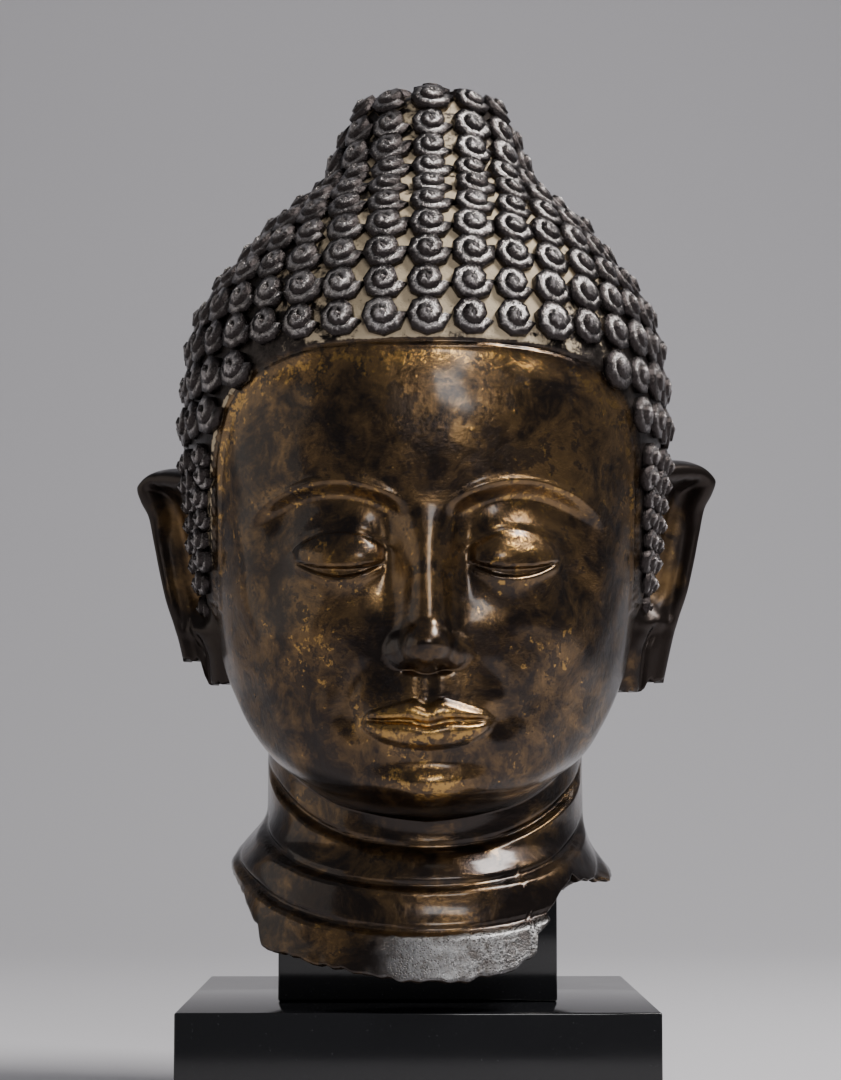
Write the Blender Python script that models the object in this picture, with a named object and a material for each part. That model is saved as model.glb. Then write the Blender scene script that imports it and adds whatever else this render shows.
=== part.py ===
"""A hollow cast bronze head of a buddha, broken off at the neck, set over a black post on a black slab.

Metres, +Z up. The face looks along -Y. The origin is the centre of the slab's underside.
The head is a figure: its own sizes are counted in parts, 364 to its height, from the lowest tip of the
broken neck up. The slab, the post, the wall of the casting and the seat of the head have sizes of their own.
"""

import math

import bmesh
import bpy
import numpy as np
from mathutils.geometry import delaunay_2d_cdt

# The stand
SLAB_SIDE = 0.180
SLAB_HEIGHT = 0.050
POST_WIDTH = 0.108
POST_DEPTH = 0.086
POST_HEIGHT = 0.046
EDGE_BEVEL = 0.0008
CLEARANCE = 0.0003

# The bronze
BRONZE_HEIGHT = 0.364
WALL = 0.0065
HEAD_SHIFT = 0.0032

# The canon of the head, in parts
PARTS = 364.0
PART = BRONZE_HEIGHT / PARTS
CROWN = 357.5
HAIRLINE = 238.5
THIRD = 61.7
BROW = HAIRLINE - THIRD
NOSE_BASE = BROW - THIRD
CHIN = NOSE_BASE - THIRD
EYE_WIDTH = 33.0
EYE_LINE = BROW - THIRD / 3
MOUTH_LINE = NOSE_BASE - THIRD / 3
MOUTH_WIDTH = 1.5 * EYE_WIDTH

# The hair
FACE_HALF = 84.0
HAIR_STEP = 2.2
CROWN_LEAN = 2.0
CURL_PITCH = 16.7
CURL_ROW_RISE = 15.2
CURL_ROW_DROP = 16.0
CURL_HEIGHT = 6.5
CURL_FIRST_ROW = 248.5
CURL_LAST_ROW = 352.0
NAPE_RISE = 0.32

# Sections of the head: height, half width, reach forward and reach back of the head's axis, in parts
HEAD_SECTIONS = (
    (60, 58, 88, 60),
    (80, 72, 91, 72),
    (100, 80, 93.5, 83),
    (130, 86, 94.5, 94),
    (160, 91, 96, 102),
    (185, 94.5, 97, 107),
    (210, 97, 96.5, 108),
    (238, 95.6, 93.4, 105.5),
    (258, 92, 87.5, 102),
    (272, 85.5, 81, 97),
    (282, 77.2, 75, 91.5),
    (291, 70, 68.5, 84.5),
    (300, 62.3, 59.5, 77),
    (309, 52.4, 49, 67.5),
    (318, 42.6, 38.5, 58.5),
    (331, 37.6, 28, 50.5),
    (346, 30.8, 18.5, 43),
    (357.5, 26, 12.5, 38.5),
)
CAP_START = 348.0
CAP_POWER = 3.0

# The lower edge of the jaw and the skull all round: azimuth, height, height of its rounding
JAW_EDGE = (
    (0, 53.5, 20),
    (28, 56, 22),
    (50, 63, 27),
    (70, 79, 34),
    (88, 98, 38),
    (110, 100, 40),
    (145, 94, 44),
    (180, 90, 46),
)

# Rows of points along that edge, as shares of its rounding
JAW_ROWS = (0.0, 0.2, 0.32, 0.52, 0.8)

# The neck, flaring out to the broken chest: height, reach at the front, at the side and at the back
NECK_SECTIONS = (
    (-10, 97, 97, 92),
    (0, 93.5, 94, 89),
    (12, 87.5, 89, 84),
    (24, 80.5, 83, 79),
    (35, 76.5, 77, 77),
    (42, 72, 71.4, 73),
    (50, 66, 66.4, 68.5),
    (60, 63.5, 64, 66),
    (72, 63, 63.6, 66),
    (100, 63, 64, 66),
)
FLARE_LEFT_EXTRA = 7.0

# Rings of the neck: height at the front, rise from front to side
NECK_RINGS = ((47.0, 39.0), (33.2, 32.0), (16.8, 35.0))
RING_STEP = 2.6
RING_FADE = 26.0

# Inside of the neck, round, and what rests on the post's corners
BORE_SECTIONS = ((-10, 92), (0, 87.5), (12, 82), (24, 76.5), (34.6, 72), (42, 66.5), (50, 60), (60, 57), (75, 57))

# Facets round the hollow where it sits on the post
BORE_SIDES = 48

# How far the hollow keeps below a rounding above it, and how much deeper it lies behind the eyes
BORE_LAG = 14.0
EYE_HOLLOW = 9.0

# The broken edge of the neck: azimuth from the front, towards the head's left positive, and height in parts
BREAK_LINE = (
    (-180, 26), (-150, 24), (-128, 27), (-112, 35), (-97, 47.5), (-90, 45.5), (-82, 41.5), (-72, 36), (-62, 31),
    (-54, 24), (-48, 18), (-44, 10.5), (-39, 9.5), (-28, 6), (-15, 2.6), (-4, 0), (8, 0), (18, 2.6),
    (27, 9), (28.5, 16), (33, 21.5), (38, 29), (42, 33.4), (46.5, 37.5), (50, 35), (56, 35.6), (63, 34.4),
    (72, 36.5), (82, 38.5), (92, 41.5), (104, 40.5), (115, 38), (126, 31), (140, 23), (160, 25), (180, 26),
)

# The ears, in parts, from the broken lobes up
EAR_OUTLINE = ((105, 96.4), (124, 100.6), (135, 103.2), (148, 106.3), (160, 109), (172, 111.4), (182, 113.8),
               (188, 116.6), (193, 117.8), (200, 117.4))
EAR_TOP = 200.8
EAR_INNER_LOBE = (113.0, 106.5)
EAR_OUTER_LOBE = (123.0, 110.8)
EAR_RISE = (0.0, 3.5)
EAR_SPREAD = (0.0, 1.5)
EAR_SWEEP = 38.0
EAR_ROOT_BITE = 3.0
EAR_HANG = 124.0
EAR_BACK = 13.0


def smooth_curve(knots, values):
    """A curve through the knots that doesn't overshoot between them."""
    knots, values = np.asarray(knots, float), np.asarray(values, float)
    step = np.diff(knots)
    rate = np.diff(values) / step
    slope = np.zeros_like(values)
    turn = rate[:-1] * rate[1:] > 0
    weight_a, weight_b = 2 * step[1:] + step[:-1], step[1:] + 2 * step[:-1]
    mean = (weight_a + weight_b) / (weight_a / np.where(turn, rate[:-1], 1) + weight_b / np.where(turn, rate[1:], 1))
    slope[1:-1] = np.where(turn, mean, 0)
    slope[0], slope[-1] = rate[0], rate[-1]

    def at(x):
        x = np.clip(np.asarray(x, float), knots[0], knots[-1])
        i = np.clip(np.searchsorted(knots, x, side="right") - 1, 0, len(step) - 1)
        h = step[i]
        t = (x - knots[i]) / h
        return (
            (1 + 2 * t) * (1 - t) ** 2 * values[i]
            + t * (1 - t) ** 2 * h * slope[i]
            + t * t * (3 - 2 * t) * values[i + 1]
            + t * t * (t - 1) * h * slope[i + 1]
        )

    return at


def columns(table):
    """One smooth curve of the first column for each of the others."""
    rows = np.asarray(table, float)
    return [smooth_curve(rows[:, 0], rows[:, i]) for i in range(1, rows.shape[1])]


HEAD_SIDE, HEAD_FRONT, HEAD_BACK = columns(HEAD_SECTIONS)
JAW_HEIGHT, JAW_ROUND = columns(JAW_EDGE)
NECK_FRONT, NECK_SIDE, NECK_BACK = columns(NECK_SECTIONS)
(BORE,) = columns(BORE_SECTIONS)
(EAR_REACH,) = columns(EAR_OUTLINE)


def ramp(x, low, high):
    """0 below low, 1 above high, and a smooth rise between."""
    t = np.clip((x - low) / (high - low), 0, 1)
    return t * t * (3 - 2 * t)


def hill(u, v=0.0, power=1.0):
    """A rounded hill over the origin of u and v, whose sides steepen with power."""
    return np.exp(-((u * u + v * v) ** power))


def smooth_max(a, b, blend):
    """The larger of two, rounded over where they cross."""
    h = np.clip(0.5 + 0.5 * (a - b) / blend, 0, 1)
    return a * h + b * (1 - h) + blend * h * (1 - h)


def axis_shift(z):
    """How far behind the head's axis the centre of a section lies."""
    return (HEAD_BACK(z) - HEAD_FRONT(z)) / 2 * ramp(z, 80, 130)


def oval(azimuth, side, front, back, power):
    """Radius of an oval section whose front and back halves reach differently."""
    s, c = np.abs(np.sin(azimuth)), np.cos(azimuth)
    reach = np.where(c > 0, front, back)
    return ((s / side) ** power + (np.abs(c) / reach) ** power) ** (-1 / power)


def lean(z):
    """How far the hair leans to the left side of the face."""
    return CROWN_LEAN * ramp(z, HAIRLINE + 20, HAIRLINE + 85)


def crown_cap(z):
    """Closes the sections over the flat crown."""
    t = np.clip((z - CAP_START) / (CROWN - CAP_START), 0, 1)
    return np.maximum(1 - t**CAP_POWER, 0) ** (1 / CAP_POWER)


def head_radius(azimuth, z):
    """The skull under the curls and the face without its features, down to the edge of the jaw."""
    shift = axis_shift(z)
    power = 2.0 + 0.16 * ramp(-np.abs(z - 170), -90, -40)
    radius = oval(azimuth, HEAD_SIDE(z), HEAD_FRONT(z) + shift, HEAD_BACK(z) - shift, power) * crown_cap(z)
    turn = np.degrees(np.abs(azimuth))
    rise = np.clip((z - JAW_HEIGHT(turn)) / JAW_ROUND(turn), 0, 1)
    return radius * np.maximum(1 - (1 - rise) ** 2.3, 0) ** (1 / 2.3)


def ring_height(azimuth, ring):
    """Height of a neck ring at an azimuth."""
    front, rise = NECK_RINGS[ring]
    return front + rise * (1 - np.cos(azimuth))


def neck_radius(azimuth, z):
    """The neck with its three rings, each fold standing out over the crease above it."""
    c, s = np.cos(azimuth), np.sin(azimuth)
    reach = np.where(c > 0, NECK_FRONT(z), NECK_BACK(z))
    radius = NECK_SIDE(z) * s * s + reach * c * c
    radius = radius + FLARE_LEFT_EXTRA * np.clip(-s, 0, 1) ** 3 * ramp(-z, -63, -45) * ramp(z, 32, 43)
    shown = ramp(c, 0.1, 0.5)
    for ring in range(len(NECK_RINGS)):
        below = ring_height(azimuth, ring) - z
        fold = ramp(below, -1.0, 2.2) * np.exp(-np.clip(below, 0, None) / RING_FADE * 2)
        crease = hill((below + 0.6) / 1.8)
        radius = radius + shown * (RING_STEP * fold - 1.3 * crease)
    return radius


def body_radius(azimuth, z):
    """Head and neck together, without the features."""
    return smooth_max(head_radius(azimuth, z), neck_radius(azimuth, z) * ramp(-z, -150, -118), 3.5)


def hair_depth(x, y, z):
    """Distance in from the hairline: above 0 is hair, below 0 is skin."""
    over = np.clip(z - 168.6, 0, None)
    across = ((np.abs(x) / FACE_HALF) ** 4 + (over / 70.0) ** 4) ** 0.25 - 1
    slant = np.hypot(x, y) / np.maximum(-y, 0.4 * np.hypot(x, y) + 1e-6)
    from_face = np.where(y < 25, across * 75.0 * slant, 60.0)
    turn = np.degrees(np.arctan2(np.abs(x), -y))
    nape = JAW_HEIGHT(turn) + NAPE_RISE * JAW_ROUND(turn)
    lower_edge = 143 + (nape - 143) * ramp(turn, 92, 118)
    return np.minimum(from_face, z - lower_edge)


def nose(x, z):
    """The ridge from between the brows, the round tip and the two wings."""
    t = (BROW - z) / THIRD
    high = (2.0 + 19.5 * np.clip(t, 0, 1) ** 1.1) * ramp(t, -0.12, 0.1) * ramp(-t, -1.005, -0.9)
    wide = 7.6 + 4.6 * ramp(t, 0.1, 1.0)
    ridge = high * hill(x / wide, power=1.5)
    wings = 9.5 * hill((np.abs(x) - 11.2) / 5.2, (z - NOSE_BASE - 6.5) / 6.6, 1.4) * ramp(-t, -1.01, -0.92)
    nostrils = 5.5 * hill((np.abs(x) - 6.6) / 3.6, (z - NOSE_BASE - 1.6) / 2.0)
    return smooth_max(ridge, wings, 2.5) - 0.6 - nostrils


def brow_line(x):
    """Height of the brow's arc."""
    return BROW + 8.0 - 10.5 * ((np.abs(x) - 36.0) / 30.0) ** 2


def eyes(x, z):
    """Sockets under sharp brows, full lids lowered over almond eyes."""
    side = np.abs(x)
    under = brow_line(x) - z
    across = ramp(side, 7.5, 13) * ramp(-side, -70, -52)
    socket = -6.4 * across * ramp(under, -0.6, 5.5) * ramp(z, EYE_LINE - 26, EYE_LINE - 3)
    corner = -4.2 * hill((side - 14.5) / 6.5, (z - EYE_LINE - 5) / 13)
    ridge = 1.1 * across * hill((under + 0.9) / 1.7)
    e = (side - EYE_WIDTH) / (EYE_WIDTH / 2)
    ball = 7.4 * hill((side - EYE_WIDTH) / 20.5, (z - EYE_LINE - 0.5) / 15.0, 1.35)
    inside = ramp(-np.abs(e), -1.06, -0.9)
    upper = EYE_LINE - 3.4 + 2.6 * e * e + 0.5 * e
    lower = EYE_LINE - 7.0 + 5.6 * e * e + 0.5 * e
    lid = 1.7 * inside * ramp(z - upper, -0.5, 0.5) * ramp(upper + 11.5 - z, 0, 9)
    slit = -1.5 * inside * ramp(upper - z, -0.4, 0.4) * ramp(z - lower, -0.6, 0.6)
    lower_lid = 0.9 * inside * hill((z - lower + 1.2) / 1.5)
    fold = -0.9 * ramp(-np.abs(e), -1.35, -1.0) * hill((z - (EYE_LINE + 11.0 - 5.5 * e * e)) / 1.3)
    return socket + corner + ridge + ball + lid + slit + lower_lid + fold


def mouth(x, z):
    """Closed lips with a bowed upper edge and corners that turn up a little."""
    m = np.abs(x) / (MOUTH_WIDTH / 2)
    open_width = np.clip(1 - m * m, 0, 1)
    part = MOUTH_LINE + 1.8 * m**3 - 1.0 * hill(x / 4.5) + 0.6 * hill((np.abs(x) - 9) / 5)
    upper_edge = part + 7.6 * open_width**0.75 + 0.9 * hill((np.abs(x) - 5.2) / 3.4) - 1.0 * hill(x / 2.6)
    lower_edge = part - 9.0 * open_width**0.62
    above = (z - part) / np.maximum(upper_edge - part, 0.8)
    beneath = (part - z) / np.maximum(part - lower_edge, 0.8)
    fade = ramp(-m, -1.05, -0.86)
    upper = 3.6 * fade * np.sqrt(np.clip(1 - (np.clip(above, -0.15, 1.15) - 0.42) ** 2 / 0.42, 0, 1)) * (above > 0)
    lower = 4.6 * fade * np.sqrt(np.clip(1 - (np.clip(beneath, -0.1, 1.2) - 0.45) ** 2 / 0.4, 0, 1)) * (above <= 0)
    line = -1.7 * fade * hill((z - part) / 1.15)
    muzzle = 3.6 * hill(x / 31, (z - MOUTH_LINE - 2) / 21)
    corner = -2.6 * hill((np.abs(x) - MOUTH_WIDTH / 2 - 2.2) / 4.6, (z - MOUTH_LINE - 1.6) / 5.0)
    furrow = ramp(z, upper_edge, upper_edge + 3) * ramp(-z, -NOSE_BASE - 1, -NOSE_BASE + 3)
    philtrum = furrow * (0.7 * hill((np.abs(x) - 4.6) / 1.8) - 1.2 * hill(x / 3.0))
    under_lip = -3.0 * hill(x / 17, (z - MOUTH_LINE + 14.5) / 5.0)
    return upper + lower + line + muzzle + corner + philtrum + under_lip


def face_relief(x, z):
    """How far the features stand forward of the plain head."""
    side = np.abs(x)
    chin = 5.2 * hill(x / 19, (z - CHIN - 15) / 13)
    cheeks = 2.6 * hill((side - 45) / 24, (z - NOSE_BASE - 20) / 26)
    forehead = 1.4 * hill(x / 55, (z - BROW - 32) / 26)
    smile = -0.9 * hill((side - 23 - 0.45 * (NOSE_BASE + 4 - z)) / 3.6) * ramp(-np.abs(z - 106), -14, -5)
    return nose(x, z) + eyes(x, z) + mouth(x, z) + chin + cheeks + forehead + smile


def head_point(azimuth, z):
    """A point of the bronze's outer surface, in parts, with x to the head's left."""
    azimuth, z = np.asarray(azimuth, float), np.asarray(z, float)
    radius = body_radius(azimuth, z)
    x, y = radius * np.sin(azimuth), axis_shift(z) - radius * np.cos(azimuth)
    skin = ramp(-hair_depth(x, y, z), -1.6, 0.4) * ramp(z, 80, 110) * (z > 60)
    rim = 0.9 * hill((hair_depth(x, y, z) + 1.6) / 1.3) * ramp(z, 110, 140)
    radius = radius + rim - HAIR_STEP * skin
    x, y = radius * np.sin(azimuth), axis_shift(z) - radius * np.cos(azimuth)
    front = ramp(np.cos(azimuth), 0.15, 0.5) * ramp(z, CHIN - 4, CHIN + 8) * ramp(-hair_depth(x, y, z), -1, 3)
    return np.stack([x + lean(z), y - front * face_relief(x, z), z], -1)


def bore_point(azimuth, z, wall):
    """A point of the hollow's surface: round in the neck, and a wall's thickness inside the head above it."""
    near = (-BORE_LAG, -BORE_LAG / 2, 0, wall)
    head = np.min([body_radius(azimuth, np.clip(z + d, -10, CROWN)) for d in near], axis=0) - wall
    behind_eyes = EYE_HOLLOW * ramp(np.cos(azimuth), 0.7, 0.88) * hill((z - EYE_LINE - 2) / 30)
    head = (head - behind_eyes) * np.clip((CROWN - wall - z) / 4, 0, 1) ** 0.5
    share = ramp(z, 52, 84)
    radius = BORE(z) * (1 - share) + np.maximum(head, 0) * share
    return np.stack([radius * np.sin(azimuth) + lean(z), axis_shift(z) - radius * np.cos(azimuth), z], -1)


class Chart:
    """A flat, shape-keeping map of the head, seen down on the crown, in which its points are joined up."""

    def __init__(self, low, high, radius):
        self.heights = high - (high - low) * (1 - np.cos(np.linspace(0, math.pi / 2, 4000)))[::-1]
        reach = np.maximum(radius(self.heights), 1e-3)
        run = np.hypot(np.diff(self.heights), np.diff(reach))
        self.length = np.concatenate([[0], np.cumsum(run)])
        step = run / (0.5 * (reach[1:] + reach[:-1]))
        self.log_distance = -np.concatenate([[0], np.cumsum(step)])
        self.reach = reach

    def height_at(self, length):
        return np.interp(length, self.length, self.heights)

    def length_at(self, z):
        return np.interp(z, self.heights, self.length)

    def place(self, azimuth, z):
        distance = np.exp(np.interp(z, self.heights, self.log_distance))
        return np.stack([distance * np.sin(azimuth), -distance * np.cos(azimuth)], -1)

    def lift(self, spot):
        distance = np.hypot(spot[..., 0], spot[..., 1])
        z = np.interp(-np.log(np.maximum(distance, 1e-9)), -self.log_distance, self.heights)
        return np.arctan2(spot[..., 0], -spot[..., 1]), z

    def scale(self, z):
        """Chart distance for one part on the surface."""
        return np.exp(np.interp(z, self.heights, self.log_distance)) / np.interp(z, self.heights, self.reach)


def row_of_curls(z, pitch):
    """Azimuths of the curls at a height, set evenly: all round, or from one temple round the back to the other."""
    turn = np.linspace(0, 2 * math.pi, 721)
    ring = head_point(turn, np.full_like(turn, z))
    depth = hair_depth(ring[:, 0], ring[:, 1], ring[:, 2])
    hair = turn[(depth > 0.45 * pitch) & (turn <= math.pi)]
    if not len(hair):
        return []
    run = np.concatenate([[0], np.cumsum(np.linalg.norm(np.diff(ring, axis=0), axis=1))])
    whole = hair[0] == 0
    start, end = (0, run[-1]) if whole else np.interp([hair[0], 2 * math.pi - hair[0]], turn, run)
    count = max(1, round((end - start) / pitch))
    places = np.arange(count) if whole else np.arange(count + 1)
    return np.interp(start + places / count * (end - start), run, turn)


def curl_rows():
    """Heights of the rows of curls, evenly spaced up the front of the head to the crown's rim, over it and down."""
    heights = CROWN - (CROWN - 98) * (1 - np.cos(np.linspace(0, math.pi / 2, 3000)))[::-1]
    reach = head_radius(np.zeros_like(heights), heights) - axis_shift(heights)
    run = np.concatenate([[0], np.cumsum(np.hypot(np.diff(heights), np.diff(reach)))])
    first, last = np.interp((CURL_FIRST_ROW, CURL_LAST_ROW), heights, run)
    up = np.linspace(first, last, max(2, round((last - first) / CURL_ROW_RISE) + 1))
    over = np.arange(last + CURL_ROW_RISE, run[-1] - 0.45 * CURL_ROW_RISE, CURL_ROW_RISE)
    down = np.arange(first - CURL_ROW_DROP, 0, -CURL_ROW_DROP)
    return np.interp(np.concatenate([up, over, down]), run, heights)


def curls():
    """Azimuth and height of every curl, the one on top of the crown first."""
    return [(0.0, CROWN - 1e-4), *((azimuth, z) for z in curl_rows() for azimuth in row_of_curls(z, CURL_PITCH))]


def spaced(points, kept, gap):
    """The points that lie at least a gap from each other and from those already kept, in parts."""
    chosen = []
    solid = np.array(kept, float).reshape(-1, 3)
    for index, point in enumerate(points):
        if len(solid) and np.min(np.sum((solid - point) ** 2, axis=1)) < gap * gap:
            continue
        solid = np.vstack([solid, point])
        chosen.append(index)
    return chosen


def break_azimuths():
    """Azimuths of the broken edge's corners: those of its line, with more where they lie far apart."""
    turns = [a for a, _ in BREAK_LINE[:-1]]
    every = []
    for a, b in zip(turns, [*turns[1:], turns[0] + 360]):
        pieces = max(1, round((b - a) / 6.0))
        every += [a + (b - a) * i / pieces for i in range(pieces)]
    return np.radians(every)


def break_height(azimuth):
    """Height of the broken edge, with small chips along it."""
    turns, heights = zip(*BREAK_LINE)
    turn = (np.degrees(azimuth) + 180) % 360 - 180
    chips = 0.5 * np.sin(turn * 0.83) * np.sin(turn * 0.31 + 1)
    return np.interp(turn, turns, heights) + chips


def azimuth_at(x, z):
    """The azimuth at which the front of the head is x wide at a height."""
    azimuth = np.arcsin(np.clip(x / 100, -0.8, 0.8))
    for _ in range(12):
        point = head_point(azimuth, z)
        azimuth = np.clip(azimuth + (x - point[:, 0]) / np.hypot(point[:, 0], point[:, 1]), -1.2, 1.2)
    return azimuth


def hairline():
    """Points just outside the edge of the hair, down the temples and over the forehead."""
    half, rise = 0.965 * FACE_HALF, 0.965 * 70.0
    z = np.arange(147.0, 229.0, 6.0)
    x = half * (1 - (np.clip(z - 168.6, 0, None) / rise) ** 4) ** 0.25
    over = np.arange(-56.0, 57.0, 8.0)
    x = np.concatenate([-x, x, over])
    z = np.concatenate([z, z, 168.6 + rise * (1 - (over / half) ** 4) ** 0.25])
    return azimuth_at(x, z), z


def face_grid():
    """Columns and rows laid along the features, closer where they are finer."""
    across = (0, 3.2, 6.6, 10, 13.5, 17, 21, 25.5, 33, 41, 48.5, 56, 66, 75.5)
    up = (
        CHIN + 17, MOUTH_LINE - 18, MOUTH_LINE - 14, MOUTH_LINE - 9.6, MOUTH_LINE - 6, MOUTH_LINE - 2.4,
        MOUTH_LINE, MOUTH_LINE + 2.4, MOUTH_LINE + 5.2, MOUTH_LINE + 8.6, MOUTH_LINE + 13.5,
        NOSE_BASE - 1.0, NOSE_BASE + 2.2, NOSE_BASE + 6.5, NOSE_BASE + 13, NOSE_BASE + 21, NOSE_BASE + 29,
        EYE_LINE - 7.2, EYE_LINE - 4.2, EYE_LINE - 2.0, EYE_LINE + 4, EYE_LINE + 9.5, EYE_LINE + 15, BROW,
        BROW + 4, BROW + 9.5, BROW + 21, BROW + 35, BROW + 49,
    )
    x, z = (a.ravel() for a in np.meshgrid((*[-a for a in across[:0:-1]], *across), up))
    azimuth = azimuth_at(x, z)
    turn = np.degrees(np.abs(azimuth))
    over_jaw = z > JAW_HEIGHT(turn) + 0.9 * JAW_ROUND(turn)
    found = (np.abs(head_point(azimuth, z)[:, 0] - x) < 0.5) & (turn < 63) & over_jaw
    return azimuth[found], z[found]


def neck_grid():
    """Points along the creases and the crests of the neck's folds, and round the jaw above them."""
    spots = []
    around = np.radians(np.arange(-180, 180, 9.0))
    for ring in range(len(NECK_RINGS)):
        for offset in (1.6, -1.6, -7.0):
            height = ring_height(around, ring) + offset
            spots += [(a, z) for a, z in zip(around, height) if abs(a) < 1.35 and z < 74]
    for z in (40, 54, 68, 80, 92):
        spots += [(a, z) for a in around + 0.03 if abs(a) > 1.3]
    azimuth, z = np.array(spots).T
    free = z < JAW_HEIGHT(np.degrees(np.abs(azimuth))) - 2.5
    return azimuth[free], z[free]


def jaw_grid():
    """Rows of points along the rounded edge under the jaw and the skull."""
    around = np.tile(np.radians(np.arange(-180, 180, 8.0)), len(JAW_ROWS))
    turn = np.degrees(np.abs(around))
    return around, JAW_HEIGHT(turn) + np.repeat(JAW_ROWS, len(around) // len(JAW_ROWS)) * JAW_ROUND(turn)


def outer_points(chart):
    """Points of the outer surface in the order that they matter, each with how far it is lifted off it."""
    rim = break_azimuths()
    groups = [(rim, break_height(rim), np.zeros_like(rim))]
    tops, valleys = [], []
    for azimuth, z in curls():
        spot, unit = chart.place(azimuth, z), chart.scale(z)
        tops.append((*spot, CURL_HEIGHT))
        for k in range(4):
            turn = azimuth + math.radians(45 + 90 * k)
            away = np.array([math.sin(turn), -math.cos(turn)]) * unit * CURL_PITCH
            tops.append((*(spot + away * 0.31), 0.76 * CURL_HEIGHT))
            turn = azimuth + math.radians(90 * k)
            away = np.array([math.sin(turn), -math.cos(turn)]) * unit * CURL_PITCH
            valleys.append((*(spot + away * (0.5 if k % 2 else 0.46)), 0.0))
    for group in (tops, valleys):
        spots = np.array(group)
        groups.append((*chart.lift(spots[:, :2]), spots[:, 2]))
    for azimuth, z in (hairline(), jaw_grid(), face_grid(), neck_grid()):
        groups.append((azimuth, z, np.zeros_like(z)))
    return groups


def outer_normal(azimuth, z):
    """Outward direction of the smooth surface."""
    step = 0.4
    flat_step = step / np.maximum(body_radius(azimuth, z), 4)
    low = np.clip(z - step, None, CROWN - 0.02)
    high = np.clip(z + step, None, CROWN - 0.01)
    along = head_point(azimuth + flat_step, z) - head_point(azimuth - flat_step, z)
    up = head_point(azimuth, high) - head_point(azimuth, low)
    normal = np.cross(along, up)
    size = np.linalg.norm(normal, axis=-1, keepdims=True)
    flat_top = (z > CROWN - 0.6)[..., None]
    normal = np.where(size > 1e-6, normal / np.maximum(size, 1e-6), (0, 0, 1))
    return np.where(flat_top, (0, 0, 1), normal)


def lies_within(spot, loop):
    """Whether a spot of the chart lies inside a closed loop."""
    after = np.roll(loop, -1, axis=0)
    crosses = (loop[:, 1] > spot[1]) != (after[:, 1] > spot[1])
    rise = np.where(crosses, after[:, 1] - loop[:, 1], 1)
    where = loop[:, 0] + (spot[1] - loop[:, 1]) / rise * (after[:, 0] - loop[:, 0])
    return np.count_nonzero(crosses & (where > spot[0])) % 2 == 1


def join_up(chart, azimuth, z, edge_count):
    """Triangles over the points inside the loop that the first edge_count of them make."""
    spots = chart.place(azimuth, z)
    spots = spots / np.abs(spots).max()
    loop = [(i, (i + 1) % edge_count) for i in range(edge_count)]
    made = delaunay_2d_cdt([tuple(s) for s in spots], loop, [], 0, 1e-7, True)
    vertices, faces, origins = made[0], made[2], made[3]
    if len(vertices) != len(spots):
        raise ValueError("two points of the surface fall together on the chart")
    faces = [[origins[i][0] for i in face] for face in faces]
    rim = spots[:edge_count]
    return [f for f in faces if max(f) >= edge_count or lies_within(spots[f].mean(axis=0), rim)]


def outer_shell(chart):
    """The outer surface: points in parts and triangles."""
    azimuths, heights, lifts, placed = [], [], [], np.zeros((0, 3))
    gaps = (0.0, 2.2, 4.3, 2.4, 3.2, 1.2, 5.0)
    rim_count = 0
    for (azimuth, z, lift), gap in zip(outer_points(chart), gaps):
        azimuth, z, lift = (np.asarray(a, float) for a in (azimuth, z, lift))
        z = np.clip(z, None, CROWN - 1e-4)
        point = head_point(azimuth, z)
        if gap:
            above = z > break_height(azimuth) + 3.0
            keep = [i for i in spaced(point, placed, gap) if above[i]]
            if gap == 1.2:
                depth = hair_depth(point[:, 0], point[:, 1], point[:, 2])
                keep = [i for i in keep if depth[i] < -4.5]
            azimuth, z, lift, point = azimuth[keep], z[keep], lift[keep], point[keep]
        else:
            rim_count = len(azimuth)
        placed = np.vstack([placed, point])
        azimuths.append(azimuth)
        heights.append(z)
        lifts.append(lift)
    azimuth, z, lift = (np.concatenate(a) for a in (azimuths, heights, lifts))
    points = placed + outer_normal(azimuth, z) * lift[:, None]
    return points, join_up(chart, azimuth, z, rim_count), rim_count


def seat_height():
    """Height in the head at which its hollow is as wide as the post's corners."""
    corner = math.hypot(POST_WIDTH / 2 + HEAD_SHIFT, POST_DEPTH / 2) / math.cos(math.pi / BORE_SIDES) + CLEARANCE
    heights = np.linspace(0, 60, 1201)
    return float(np.interp(-corner / PART, -BORE(heights), heights)) * PART


def bore_shell(wall):
    """The hollow's surface from the same broken edge up: points in parts and triangles."""
    chart = Chart(-10, CROWN - wall, lambda z: np.linalg.norm(bore_point(np.full_like(z, 1.57), z, wall)[:, :2], axis=1))
    rim = break_azimuths()
    azimuths, heights = [rim], [break_height(rim)]
    seat = seat_height() / PART
    for z, count in ((seat, BORE_SIDES), (seat + 8, BORE_SIDES / 2)):
        turn = np.arange(count) / count * 2 * math.pi
        turn = turn[break_height(turn) < z - 2.5]
        azimuths.append(turn)
        heights.append(np.full(len(turn), z))
    low = chart.length_at(max(seat + 16, break_height(rim).max() + 2.5))
    high = chart.length_at(CROWN - wall)
    for row, length in enumerate(np.arange(low, high - 8, 28.0)):
        z = float(chart.height_at(length))
        radius = float(bore_point(np.array([1.57]), np.array([z]), wall)[0, 0])
        count = max(5, round(2 * math.pi * radius / 30.0))
        azimuths.append((np.arange(count) + 0.5 * (row % 2)) / count * 2 * math.pi)
        heights.append(np.full(count, z))
    azimuths.append([0.0])
    heights.append([CROWN - wall - 1e-3])
    azimuth, z = np.concatenate(azimuths), np.concatenate(heights)
    return bore_point(azimuth, z, wall), join_up(chart, azimuth, z, len(rim))


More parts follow.
